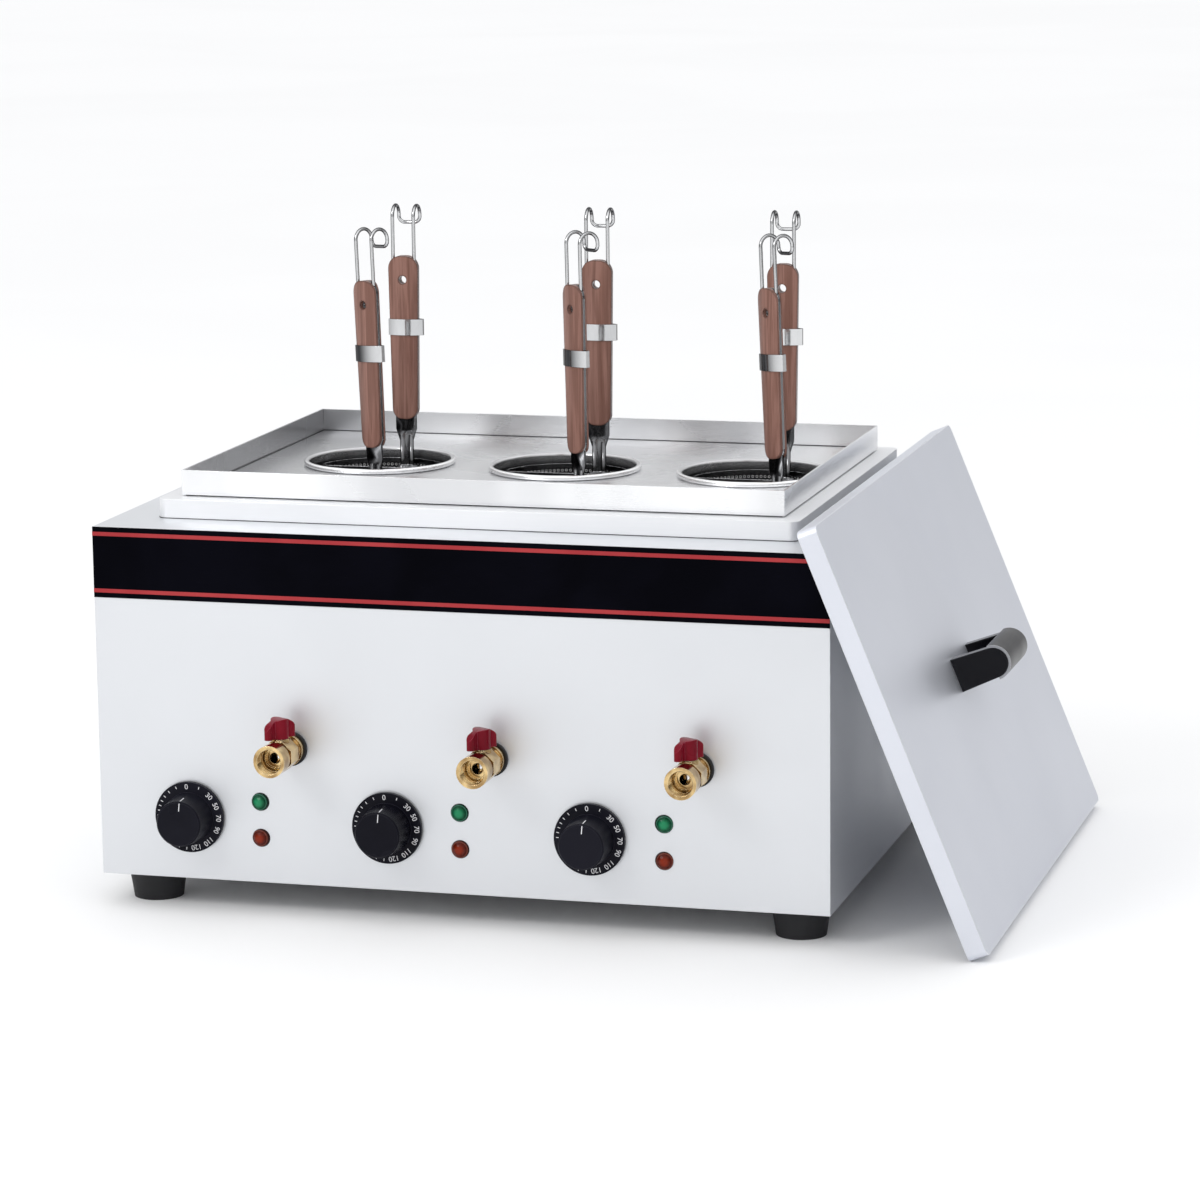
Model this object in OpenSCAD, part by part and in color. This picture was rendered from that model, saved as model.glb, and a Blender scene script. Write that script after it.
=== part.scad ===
// Countertop electric pasta cooker: three round tanks in one tray, two half-round strainers in each tank,
// a drain valve, thermostat knob and two pilot lamps per tank, and the tray's lid leaning on the right side.
// Millimetres. X runs to the right, Y to the back, Z up. The origin is on the ground below the
// middle of the whole, with its valves and its leaning lid.

/* [Casing] */
// Width of the casing
body_w = 600; // [540:5:700]
// Depth of the casing
body_d = 470; // [440:5:560]
// Height of the casing without the feet
body_h = 283.5; // [260:0.5:340]
// Thickness of the casing's sheet
sheet_t = 1.5; // [1:0.1:3]
// Height of the base plate's turned-up edge
base_lip = 14; // [8:1:30]

/* [Feet] */
// Height of a foot
foot_h = 26; // [18:1:40]
// Diameter of a foot where it meets the casing
foot_top_d = 48; // [36:1:60]
// Diameter of a foot's sole
foot_sole_d = 40; // [30:1:52]
// Distance of a foot's axis from the casing's side
foot_inset_x = 32; // [31:1:60]
// Distance of a foot's axis from the casing's front or back
foot_inset_y = 40; // [31:1:80]
// Shank diameter of a foot's bolt
foot_bolt_d = 6; // [4:0.5:8]

/* [Front panel trim] */
// Height of the dark band along the top of the front
band_h = 57; // [40:1:80]
// Thickness of the dark band
band_t = 0.8; // [0.5:0.1:2]
// Height of each of the band's two lines
stripe_h = 3.2; // [2:0.2:6]
// Distance of each line from the band's edge
stripe_inset = 4; // [1:0.5:12]
// Thickness of each line
stripe_t = 0.3; // [0.2:0.1:0.6]

/* [Deck and tray] */
// Distance of the raised deck from the casing's left and right sides
deck_side = 36; // [25:1:60]
// Distance of the raised deck from the casing's front
deck_front = 49; // [30:1:60]
// Distance of the raised deck from the casing's back
deck_back = 39; // [25:1:60]
// Height of the raised deck
deck_h = 15.5; // [10:0.5:30]
// Corner radius of the deck
deck_r = 8; // [4:0.5:12]
// Width of the ledge under the tray's front and back
deck_ledge = 20; // [17:1:20]
// Distance of the tray from the deck's left and right sides
tray_side = 15; // [10:1:25]
// Distance of the tray from the deck's front
tray_front = 18; // [10:1:25]
// Distance of the tray from the deck's back
tray_back = 16; // [10:1:25]
// Height of the tray's walls
tray_h = 20; // [14:1:30]
// Thickness of the tray's sheet
tray_t = 1.2; // [0.8:0.1:1.6]
// Width of the slit where the tray's folded walls meet
tray_slit = 0.6; // [0.4:0.1:1]
// Thickness of the seal under the tray
seal_t = 1; // [0.5:0.1:3]
// How far the seal stays inside the tray's edge
seal_inset = 2.5; // [1:0.5:3]
// Width of the seal along the tray's left and right sides
seal_side_w = 2.5; // [2:0.5:4]

/* [Tanks] */
// Distance from the tray's side to the outermost tank's share of the tray
tank_side = 7.5; // [6.5:0.5:12]
// Space between neighbouring tanks
tank_space = 43; // [41:1:56]
// How far the row of tanks sits to the right of the casing's centre
tank_row_x = 20.5; // [5:0.5:21]
// How far the row of tanks sits behind the casing's centre
tank_row_y = 12; // [0:1:25]
// Depth of a tank below the tray's floor
tank_depth = 166; // [155:1:180]
// Thickness of a tank's wall
tank_t = 1.2; // [0.8:0.1:2]
// Radius between a tank's wall and its floor
tank_floor_r = 10; // [6:1:12]
// Diameter of the rolled rim's bead
rim_bead_d = 4.6; // [3:0.2:5]
// Height of the rest plate's front shelf above the tank's floor
rest_h = 26.5; // [24:0.5:34]
// How much higher the rest plate's rear shelf is
rest_step = 10.5; // [6:0.5:14]
// Thickness of the rest plate
rest_t = 1.5; // [1:0.1:3]
// Diameter of the rest plate's holes
rest_hole_d = 9; // [6:0.5:11]
// Diameter of the heating tube
heater_tube_d = 8; // [6:0.5:10]
// Distance of the heating ring from the tank's wall
heater_in = 23; // [20:1:26]

/* [Drain] */
// Distance from the casing's side to the outermost valve's share of the front
control_side = 51; // [48:1:60]
// How far the row of valves sits to the right of the casing's centre
valve_row_x = 28.5; // [24:0.5:32]
// How far the drain's axis lies below the tank's floor
drain_drop = 23; // [21:0.5:30]
// Outside diameter of the drain pipe
pipe_d = 18; // [16:0.5:18]
// Wall of the drain pipe
pipe_wall = 1.8; // [1:0.1:3]
// Bend radius of the drain pipe
pipe_bend_r = 14; // [12:0.5:16]
// Thickness of the rubber washer behind the valve
washer_t = 2.5; // [1.5:0.1:4]
// Diameter of the rubber washer
washer_d = 28; // [26:0.5:34]
// Length of a valve from its washer to its mouth
valve_len = 49; // [47:0.5:60]
// Diameter of a valve's mouth ring
mouth_d = 25.6; // [25:0.2:30]
// Diameter of the threaded outlet
outlet_d = 20; // [17:0.1:21]
// Depth of the threaded outlet
outlet_depth = 12; // [9:0.5:13]
// Diameter of the valve's ball
ball_d = 16; // [14:0.5:16.5]
// Diameter of the passage through the ball
ball_bore_d = 9; // [6:0.5:10]
// Diameter of the valve's stem
stem_d = 8; // [6:0.5:9]
// Span of the butterfly lever
lever_span = 23; // [21:1:38]
// Height of the lever over its hub
lever_h = 16; // [12:0.2:20]
// Height of the lever's wings at their ends
lever_tip_h = 11.4; // [8:0.2:11.8]
// Angle of the lever from square across the pipe, where the valve is shut, to in line with it at 90
lever_angle = 60; // [0:1:90]

/* [Knobs and lamps] */
// How far the row of knobs sits to the right of the casing's centre
knob_row_x = -57.5; // [-62:0.5:-54]
// Height of the knobs above the casing's lower edge
knob_rise = 51; // [42:0.5:58]
// Diameter of a knob's dial
dial_d = 57.5; // [48:0.5:64]
// Thickness of a knob's dial
dial_t = 3; // [2:0.5:5]
// Diameter of a knob's grip at its root
knob_root_d = 41; // [34:0.5:46]
// Diameter of a knob's face
knob_face_d = 37; // [30:0.5:40]
// Height of a knob from the panel
knob_h = 29; // [20:0.5:36]
// Diameter of a thermostat's spindle
spindle_d = 6; // [5:0.5:8]
// Width of a thermostat's case
thermostat_w = 38; // [30:1:46]
// Depth of a thermostat's case
thermostat_depth = 32; // [24:1:44]
// How far the row of lamps sits to the right of the casing's centre
lamp_row_x = 2; // [-4:0.5:6]
// Height of the green lamps above the casing's lower edge
green_rise = 66; // [60:0.5:74]
// Height of the amber lamps above the casing's lower edge
amber_rise = 36.5; // [30:0.5:42]
// Diameter of a lamp's rim
lamp_d = 15; // [12:0.5:18]
// Diameter of a lamp's lens
lens_d = 12; // [9:0.5:13]
// Diameter of the hole for a lamp
lamp_hole_d = 10.4; // [8:0.2:11]

/* [Strainers] */
// Gap between a strainer's round wall and its tank's wall
basket_gap = 3.5; // [3.5:0.5:7]
// Distance of a rear strainer's rim below the tray's floor
basket_drop = 4; // [2:1:20]
// Thickness of a basket's wall
basket_t = 1; // [0.8:0.1:1.6]
// Distance of a basket's flat wall from the tank's centre
basket_split = 3; // [2.5:0.5:8]
// Radius between a basket's flat and round walls
basket_corner_r = 9; // [5:0.5:14]
// Diameter of a basket's rim wire
rim_wire_d = 3; // [2.4:0.2:4]
// Distance of a handle from the outside of its strainer's round wall
handle_in = 7.5; // [7:0.5:11]
// Sideways place of each rear handle from its tank's centre
rear_handle_x = [8.5, 17, 14];
// Sideways place of each front handle from its tank's centre
front_handle_x = [12, 24, 29];
// Turn of each front handle about the vertical
front_turn = [-28, -38, -40];
// Sideways lean of each front handle
front_lean = [2.7, 1.4, 3.7];
// Height of the wooden grip above the basket's rim
grip_rise = 35; // [28:1:50]
// Length of the wooden grip
grip_len = 138; // [110:1:170]
// Width of the grip at its upper end
grip_top_w = 26; // [25:0.5:32]
// Width of the grip at its lower end
grip_low_w = 22; // [19:0.5:24]
// Thickness of each of the grip's two wooden scales
scale_t = 3.8; // [3.4:0.2:6]
// Radius of the scales' crowned faces
scale_crown_r = 34; // [30:1:80]
// Diameter of the hanging hole through the grip
grip_hole_d = 7; // [4:0.5:8]
// Thickness of the steel tang between the scales
tang_t = 2; // [1.5:0.1:3]
// Diameter of the hook's wire
hook_wire_d = 3; // [2.4:0.1:3.6]
// Distance between the hook's two legs
hook_legs = 18.4; // [17:0.2:19]
// Height of the hook above the grip
hook_h = 43; // [30:1:60]
// Reach of the hook behind the grip
hook_reach = 18; // [14:1:34]
// Height of the clip round the grip
clip_h = 13.5; // [8:0.5:24]
// Distance of the clip's middle below the grip's upper end
clip_drop = 60; // [40:1:80]
// Thickness of the clip's strip
clip_t = 0.8; // [0.5:0.1:1.5]

/* [Lid] */
// How far the lid reaches past each end of the tray
lid_over_end = 16; // [4:1:40]
// How far the lid reaches past the tray's front and back
lid_over_side = 3; // [1:1:30]
// Corner radius of the lid
lid_corner_r = 6; // [3:0.5:12]
// Depth of the lid's turned-down edge
lid_skirt = 16; // [10:1:30]
// Thickness of the lid's sheet
lid_t = 1.2; // [0.8:0.1:2]
// Angle of the leaning lid from the vertical
lid_lean = 22.4; // [19:0.1:28]
// How far the leaning lid sits behind the casing's centre
lid_y = 14; // [0:1:40]
// Distance between the lid handle's legs
lid_handle_span = 64; // [60:1:110]
// Height of the lid handle's legs
lid_leg_h = 45; // [36:1:60]
// Width of a lid handle's leg where it meets the lid
lid_leg_w = 28; // [26:0.5:40]
// Thickness of a lid handle's leg
lid_leg_t = 11; // [8:0.5:16]
// Radius of a leg's round end
lid_leg_r = 12.5; // [10:0.5:13]
// Thickness of the lid handle's strap
lid_strap_t = 2; // [1.5:0.1:3]

/* [Back] */
// Distance of the service cover from the casing's left and right sides
cover_side = 90; // [60:5:130]
// Height of the service cover above the base plate's turned-up edge
cover_rise = 20; // [12:1:40]
// Height of the service cover
cover_h = 180; // [140:5:200]
// Thickness of the service cover
cover_t = 1.2; // [0.8:0.1:2]
// Bore of the cable gland
gland_bore_d = 9; // [6:0.5:12]
// Distance of the cable gland from the service cover's side
gland_in = 60; // [40:1:100]

/* [Fits] */
// Gap between a lifted-out piece and its seat
seat_gap = 0.3; // [0.2:0.05:0.5]
// Radial clearance of a turning shaft in its bore
run_fit = 0.05; // [0.02:0.01:0.1]
// Radial clearance of a fixed piece in its hole
hole_fit = 0.2; // [0.1:0.05:0.4]

/* [Hidden] */

$fn = 64;
// Overshoot of a cut past the face that it leaves
cut = 1;

// Sizes that follow from the casing inwards
deck_w = body_w - 2 * deck_side;
deck_d = body_d - deck_front - deck_back;
deck_y = (deck_front - deck_back) / 2;
tray_w = deck_w - 2 * tray_side;
tray_d = deck_d - tray_front - tray_back;
tray_y = deck_y + (tray_front - tray_back) / 2;
tank_pitch = (tray_w - 2 * tank_side) / 3;
tank_d = tank_pitch - tank_space;
basket_d = tank_d - 2 * basket_gap;
basket_h = tank_depth - rest_h - rest_step - basket_drop;
handle_r = basket_d / 2 - handle_in;
heater_ring_d = tank_d - 2 * heater_in;
control_pitch = (body_w - 2 * control_side) / 3;
lid_len = tray_w + 2 * lid_over_end;
lid_w = tray_d + 2 * lid_over_side;
cover_w = body_w - 2 * cover_side;

// Levels from the ground up
body_top = foot_h + body_h;
deck_top = body_top + deck_h;
tray_base = deck_top + seal_t;
tray_floor = tray_base + tray_t;
tank_floor = tray_floor - tank_depth;
valve_z = tank_floor - tank_t - drain_drop;
front_y = -body_d / 2;
panel_in_y = front_y + sheet_t;

// Rows across the casing, counted from 1 on the left
function tank_x(k) = tank_row_x + (k - 2) * tank_pitch;
function valve_x(k) = valve_row_x + (k - 2) * control_pitch;
function knob_x(k) = knob_row_x + (k - 2) * control_pitch;
function lamp_x(k) = lamp_row_x + (k - 2) * control_pitch;
knob_z = foot_h + knob_rise;
green_z = foot_h + green_rise;
amber_z = foot_h + amber_rise;
ROW = [1, 2, 3];

// The lid's inner face leans on the casing's upper right edge, and its lower rim stands on the ground
lid_ground_gap = 0.4;
lid_face = body_w / 2 * cos(lid_lean) + body_top * sin(lid_lean) + seat_gap + lid_t;
lid_low_z = lid_skirt * sin(lid_lean) + lid_ground_gap;
lid_low_x = (lid_face - lid_low_z * sin(lid_lean)) / cos(lid_lean);

// Place of the casing's centre, which brings the middle of the whole to the origin
mid_x = (body_w / 2 - lid_low_x) / 2;
mid_y = (body_d / 2 + washer_t + valve_len - lid_y - lid_len / 2) / 2;

// Openings that pieces share
deck_open_w = tray_w - 2 * seal_inset - 2 * seal_side_w;
deck_open_d = tray_d - 2 * deck_ledge;
tank_hole_r = tank_d / 2 + tank_t + hole_fit;
bushing_wall = 2;
bushing_r = spindle_d / 2 + bushing_wall;
foot_hole_r = foot_bolt_d / 2 + hole_fit;
cover_z = foot_h + base_lip + cover_rise + cover_h / 2;
screw_d = 4;
screw_head_d = 7.6;
screw_head_h = 2.4;
screw_len = 9;
cover_margin = 10;
COVER_SCREWS = [for (sx = [-1, 0, 1], sz = [-1, 1])
    [sx * (cover_w / 2 - cover_margin), sz * (cover_h / 2 - cover_margin)]];
FOOT_PLACES = [for (sx = [-1, 1], sy = [-1, 1])
    [sx * (body_w / 2 - foot_inset_x), sy * (body_d / 2 - foot_inset_y)]];

// Colours as the photograph shows them
WHITE_STEEL = [0.9, 0.91, 0.93];
BRUSHED_STEEL = [0.74, 0.75, 0.77];
BRIGHT_STEEL = [0.8, 0.81, 0.82];
BLACK = [0.06, 0.06, 0.08];
RED = [0.72, 0.2, 0.22];
BRASS = [0.84, 0.68, 0.38];
WOOD = [0.55, 0.37, 0.31];

// Basic forms

// A box that is centred in X and Y and stands on z = 0
module slab(w, d, h) {
    translate([-w / 2, -d / 2, 0]) cube([w, d, h]);
}

// A flat rounded rectangle centred on the origin
module round_rect(w, d, r) {
    square([w - 2 * r, d], center = true);
    square([w, d - 2 * r], center = true);
    for (sx = [-1, 1], sy = [-1, 1])
        translate([sx * (w / 2 - r), sy * (d / 2 - r)]) circle(r);
}

// A rod along -Y that starts at the origin
module forward(h, r, r2 = undef) {
    rotate([90, 0, 0]) cylinder(h = h, r1 = r, r2 = is_undef(r2) ? r : r2);
}

// A flat wedge that opens along +X by a half angle to either side
module wedge(reach, half) {
    polygon([[0, 0], [reach, -reach * tan(half)], [reach, reach * tan(half)]]);
}

// Moves a piece from the casing's centre to its place in the frame
module in_frame() {
    translate([mid_x, mid_y, 0]) children();
}

// Casing

// Sheet pan that closes the casing below and carries the feet
module base_plate() {
    w = body_w - 2 * sheet_t;
    d = body_d - 2 * sheet_t;
    color(BRUSHED_STEEL) in_frame() translate([0, 0, foot_h]) difference() {
        slab(w, d, base_lip);
        translate([0, 0, sheet_t]) slab(w - 2 * sheet_t, d - 2 * sheet_t, base_lip);
        for (p = FOOT_PLACES)
            translate([p[0], p[1], -cut]) cylinder(h = sheet_t + 2 * cut, r = foot_hole_r);
        // Slots that let air in below the electrics
        for (k = [-air_slots:air_slots])
            translate([k * air_slot_pitch, 0, -cut]) slab(air_slot_w, air_slot_len, sheet_t + 2 * cut);
    }
}
air_slots = 4;
air_slot_w = 6;
air_slot_len = 70;
air_slot_pitch = 22;

// Left side, back and right side bent from one sheet
module body_wrap() {
    h = body_h - sheet_t;
    opening_w = cover_w - 4 * cover_margin;
    opening_h = cover_h - 4 * cover_margin;
    color(WHITE_STEEL) in_frame() difference() {
        translate([0, sheet_t / 2, foot_h]) slab(body_w, body_d - sheet_t, h);
        translate([0, -sheet_t / 2 - cut / 2, foot_h - cut])
            slab(body_w - 2 * sheet_t, body_d - sheet_t + cut, h + 2 * cut);
        translate([0, body_d / 2 - sheet_t / 2, cover_z - opening_h / 2])
            slab(opening_w, sheet_t + 2 * cut, opening_h);
        for (p = COVER_SCREWS)
            translate([p[0], body_d / 2 + cut, cover_z + p[1]])
                forward(sheet_t + 2 * cut, screw_d / 2 + hole_fit);
    }
}

// Front sheet with the holes for valves, knobs and lamps
module front_panel() {
    color(WHITE_STEEL) in_frame() difference() {
        translate([0, front_y + sheet_t / 2, foot_h]) slab(body_w, sheet_t, body_h - sheet_t);
        for (k = ROW) translate([0, panel_in_y + cut, 0]) {
            translate([valve_x(k), 0, valve_z]) forward(sheet_t + 2 * cut, pipe_d / 2 + hole_fit);
            translate([knob_x(k), 0, knob_z]) forward(sheet_t + 2 * cut, bushing_r + hole_fit);
            for (z = [green_z, amber_z])
                translate([lamp_x(k), 0, z]) forward(sheet_t + 2 * cut, lamp_hole_d / 2 + hole_fit);
        }
    }
}

// Flat top sheet, open where the tanks hang through
module top_plate() {
    color(WHITE_STEEL) in_frame() translate([0, 0, body_top - sheet_t]) difference() {
        slab(body_w, body_d, sheet_t);
        translate([0, tray_y, -cut]) slab(deck_open_w, deck_open_d, sheet_t + 2 * cut);
    }
}

// Dark gloss band along the top of the front
module control_band() {
    color(BLACK) in_frame() translate([0, front_y - band_t / 2, body_top - band_h])
        slab(body_w, band_t, band_h);
}

// Two thin lines along the band
module band_stripes() {
    color(RED) in_frame() for (z = [body_top - band_h + stripe_inset, body_top - stripe_inset - stripe_h])
        translate([0, front_y - band_t - stripe_t / 2, z]) slab(body_w, stripe_t, stripe_h);
}

// Screwed cover over the service opening in the back, with vent slots
module back_cover() {
    color(WHITE_STEEL) in_frame() translate([0, body_d / 2 + cover_t / 2, 0]) difference() {
        translate([0, 0, cover_z - cover_h / 2]) slab(cover_w, cover_t, cover_h);
        for (p = COVER_SCREWS)
            translate([p[0], cover_t, cover_z + p[1]]) forward(2 * cover_t, screw_d / 2 + hole_fit);
        for (k = [-vents:vents])
            translate([k * vent_pitch, 0, cover_z + vent_rise]) slab(vent_w, 2 * cover_t, vent_h);
        translate([gland_x, cover_t, gland_z]) forward(2 * cover_t, gland_thread_r + hole_fit);
    }
}
vents = 5;
vent_w = 5;
vent_h = cover_h / 5;
vent_pitch = 16;
vent_rise = cover_h / 8;
gland_x = cover_w / 2 - gland_in;
gland_z = cover_z - cover_h / 4;
gland_wall = 2.5;
gland_thread_r = gland_bore_d / 2 + gland_wall;
gland_hex_lip = 4;
gland_hex_r = gland_thread_r + gland_hex_lip;
gland_root_r = gland_thread_r + gland_hex_lip / 2;
gland_lip = 1.5;
gland_lip_r = gland_bore_d / 2 + gland_lip;
gland_hex_h = 6;
gland_dome_h = 9;
gland_tail = 9;
gland_nut_h = 5;

// Gland in the back cover: locknut inside, hexagon and dome outside
module cable_gland() {
    inside = cover_t + gland_tail;
    outside = gland_hex_h + gland_dome_h;
    color(BLACK) in_frame()
        translate([gland_x, body_d / 2 + cover_t, gland_z]) rotate([-90, 0, 0]) difference() {
            union() {
                cylinder(h = gland_hex_h, r = gland_hex_r, $fn = 6);
                translate([0, 0, gland_hex_h])
                    cylinder(h = gland_dome_h, r1 = gland_root_r, r2 = gland_lip_r);
                translate([0, 0, -inside]) cylinder(h = inside, r = gland_thread_r);
                translate([0, 0, -cover_t - gland_nut_h]) cylinder(h = gland_nut_h, r = gland_hex_r, $fn = 6);
            }
            translate([0, 0, -inside - cut]) cylinder(h = inside + outside + 2 * cut, r = gland_bore_d / 2);
        }
}

// Rubber feet, recessed below for the bolt heads
foot_recess_gap = 2;
foot_recess_d = 2 * (foot_bolt_d + foot_recess_gap);
foot_recess_h = 9;
module feet() {
    color(BLACK) in_frame() for (p = FOOT_PLACES) translate([p[0], p[1], 0]) difference() {
        cylinder(h = foot_h, d1 = foot_sole_d, d2 = foot_top_d);
        translate([0, 0, -cut]) cylinder(h = foot_recess_h + cut, d = foot_recess_d);
        translate([0, 0, -cut]) cylinder(h = foot_h + 2 * cut, r = foot_hole_r);
    }
}

// Screws of the back cover, with crossed slots, and bolts of the feet
bolt_head_h = 4;
bolt_nut_h = 5;
bolt_tail = 9;
cross_w = 1;
cross_len = 4.4;
cross_depth = 1.2;
module screws() {
    grip_h = foot_h - foot_recess_h + bolt_head_h + sheet_t;
    color(BRIGHT_STEEL) in_frame() {
        for (p = COVER_SCREWS) translate([p[0], body_d / 2 + cover_t, cover_z + p[1]]) difference() {
            union() {
                translate([0, screw_head_h, 0]) forward(screw_head_h, screw_head_d / 2 - 1, screw_head_d / 2);
                translate([0, screw_head_h / 2, 0]) forward(screw_head_h / 2 + screw_len, screw_d / 2);
            }
            for (turn = [0, 90]) translate([0, screw_head_h + cut, 0]) rotate([90, 0, 0])
                rotate([0, 0, turn]) slab(cross_len, cross_w, cross_depth + cut);
        }
        for (p = FOOT_PLACES) translate([p[0], p[1], foot_recess_h - bolt_head_h]) {
            cylinder(h = bolt_head_h, r = foot_bolt_d, $fn = 6);
            cylinder(h = grip_h + bolt_tail, r = foot_bolt_d / 2);
            translate([0, 0, grip_h]) cylinder(h = bolt_nut_h, r = foot_bolt_d, $fn = 6);
        }
    }
}

// Deck and tray

// Raised frame with rounded corners that the tray stands on
module deck() {
    color(WHITE_STEEL) in_frame() translate([0, deck_y, body_top]) difference() {
        linear_extrude(deck_h) round_rect(deck_w, deck_d, deck_r);
        translate([0, 0, -cut]) linear_extrude(deck_h - sheet_t + cut)
            round_rect(deck_w - 2 * sheet_t, deck_d - 2 * sheet_t, deck_r - sheet_t);
        translate([0, tray_y - deck_y, 0]) slab(deck_open_w, deck_open_d, deck_h + cut);
    }
}

// Dark seal between deck and tray
module tray_seal() {
    color(BLACK) in_frame() translate([0, tray_y, deck_top]) difference() {
        slab(tray_w - 2 * seal_inset, tray_d - 2 * seal_inset, seal_t);
        translate([0, 0, -cut]) slab(deck_open_w, deck_open_d, seal_t + 2 * cut);
    }
}

// Open tray with folded corners and one hole per tank
tray_slit_rise = 6;
module tray() {
    color(BRUSHED_STEEL) in_frame() difference() {
        translate([0, tray_y, tray_base]) difference() {
            slab(tray_w, tray_d, tray_h);
            translate([0, 0, tray_t]) slab(tray_w - 2 * tray_t, tray_d - 2 * tray_t, tray_h);
            // Narrow slits where the folded walls meet
            for (sx = [-1, 1], sy = [-1, 1])
                translate([sx * tray_w / 2, sy * (tray_d / 2 - tray_t - tray_slit / 2), tray_slit_rise])
                    slab(3 * tray_t, tray_slit, tray_h);
        }
        for (k = ROW)
            translate([tank_x(k), tank_row_y, tray_base - cut])
                cylinder(h = tray_t + 2 * cut, r = tank_hole_r);
    }
}

// Tanks

// Half section of a tank: floor, curved knuckle, wall and rolled rim
module tank_section() {
    r = tank_d / 2;
    bead_r = rim_bead_d / 2;
    bead_z = tank_depth + bead_r;
    difference() {
        union() {
            translate([0, -tank_t]) square([r - tank_floor_r, tank_t]);
            translate([r - tank_floor_r, tank_floor_r]) intersection() {
                circle(tank_floor_r + tank_t);
                translate([0, -2 * tank_floor_r]) square(2 * tank_floor_r);
            }
            translate([r, tank_floor_r]) square([tank_t, tank_depth + bead_r - tank_floor_r]);
            translate([r + bead_r, bead_z]) circle(bead_r);
            translate([r, tank_depth]) square([bead_r, bead_r]);
        }
        translate([r - tank_floor_r, tank_floor_r]) circle(tank_floor_r);
    }
}

// One tank, welded into its hole in the tray, with a drain hole in its floor
module tank(k) {
    color(BRIGHT_STEEL) in_frame() translate([tank_x(k), tank_row_y, tank_floor]) difference() {
        rotate_extrude($fn = 96) tank_section();
        translate([valve_x(k) - tank_x(k), 0, -tank_t - cut])
            cylinder(h = tank_t + 2 * cut, r = pipe_d / 2 - pipe_wall);
        for (sx = [-1, 1]) translate([sx * heater_lead_x, heater_lead_y, -tank_t - cut])
            cylinder(h = tank_t + 2 * cut, r = heater_lead_r + hole_fit);
    }
}

// Heating ring, lying just above the tank's floor, with two sleeved leads through the floor
heater_lift = 6;
heater_z = heater_tube_d / 2 + heater_lift;
heater_lead_x = 14;
heater_lead_y = sqrt(pow(heater_ring_d / 2, 2) - pow(heater_lead_x, 2));
heater_sleeve = 1;
heater_lead_r = heater_tube_d / 2 + heater_sleeve;
heater_lead_len = 26;
module heaters() {
    gap_angle = asin(heater_lead_x / (heater_ring_d / 2));
    color([0.32, 0.31, 0.31]) in_frame() for (k = ROW) translate([tank_x(k), tank_row_y, tank_floor]) {
        translate([0, 0, heater_z]) rotate([0, 0, 90 + gap_angle]) rotate_extrude(angle = 360 - 2 * gap_angle)
            translate([heater_ring_d / 2, 0]) circle(d = heater_tube_d, $fn = 32);
        for (sx = [-1, 1]) translate([sx * heater_lead_x, heater_lead_y, -heater_lead_len])
            cylinder(h = heater_lead_len + heater_z + heater_lead_r, r = heater_lead_r);
    }
}

// Stepped plate over each heating ring that the strainers stand on
rest_gap = 1.5;
rest_r = tank_d / 2 - rest_gap;
rest_leg_r = 2.5;
rest_hole_pitch = 19;
rear_leg_turn = 70;
front_leg_turn = 40;
rest_leg_place = tank_d / 2 - tank_floor_r - rest_leg_r;
module rest_plates() {
    color(BRIGHT_STEEL) in_frame() for (k = ROW) translate([tank_x(k), tank_row_y, tank_floor]) {
        difference() {
            intersection() {
                union() {
                    translate([-rest_r, -rest_r, rest_h - rest_t]) cube([2 * rest_r, rest_r, rest_t]);
                    translate([-rest_r, -rest_t, rest_h - rest_t])
                        cube([2 * rest_r, rest_t, rest_step + rest_t]);
                    translate([-rest_r, -rest_t, rest_h + rest_step - rest_t])
                        cube([2 * rest_r, rest_r + rest_t, rest_t]);
                }
                cylinder(h = rest_h + rest_step + cut, r = rest_r);
            }
            for (ix = [-2:2], iy = [-1.5:1.5])
                if (norm([ix, iy]) * rest_hole_pitch < rest_r - rest_hole_d)
                    translate([ix * rest_hole_pitch, iy * rest_hole_pitch, 0])
                        cylinder(h = rest_h + rest_step + cut, d = rest_hole_d, $fn = 24);
        }
        for (sx = [-1, 1]) {
            rotate([0, 0, 90 - sx * rear_leg_turn]) translate([rest_leg_place, 0, 0])
                cylinder(h = rest_h + rest_step - rest_t / 2, r = rest_leg_r);
            rotate([0, 0, -90 + sx * front_leg_turn]) translate([rest_leg_place, 0, 0])
                cylinder(h = rest_h - rest_t / 2, r = rest_leg_r);
        }
    }
}

// Drains

// Pipe from each tank's floor, round a bend and out to the valve
valve_socket = 10;
pipe_nut_h = 6;
module drain_pipes() {
    in_r = pipe_d / 2 - pipe_wall;
    run = tank_row_y - pipe_bend_r - front_y + washer_t + valve_socket - hole_fit;
    color(BRIGHT_STEEL) in_frame() for (k = ROW) translate([valve_x(k), tank_row_y, valve_z]) {
        translate([0, 0, pipe_bend_r]) tube(drain_drop - pipe_bend_r, pipe_d / 2, in_r);
        translate([0, -pipe_bend_r, pipe_bend_r]) rotate([90, 0, 90]) rotate_extrude(angle = -90)
            translate([pipe_bend_r, 0]) difference() {
                circle(pipe_d / 2);
                circle(in_r);
            }
        translate([0, -pipe_bend_r, 0]) rotate([90, 0, 0]) tube(run, pipe_d / 2, in_r);
        // Locknut that clamps the panel from behind
        translate([0, panel_in_y - tank_row_y + pipe_nut_h, 0]) rotate([90, 0, 0])
            difference() {
                cylinder(h = pipe_nut_h, r = washer_d / 2, $fn = 6);
                translate([0, 0, -cut]) cylinder(h = pipe_nut_h + 2 * cut, r = pipe_d / 2 - pipe_wall / 2);
            }
    }
}
module tube(h, r, in_r) {
    difference() {
        cylinder(h = h, r = r);
        translate([0, 0, -cut]) cylinder(h = h + 2 * cut, r = in_r);
    }
}

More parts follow.
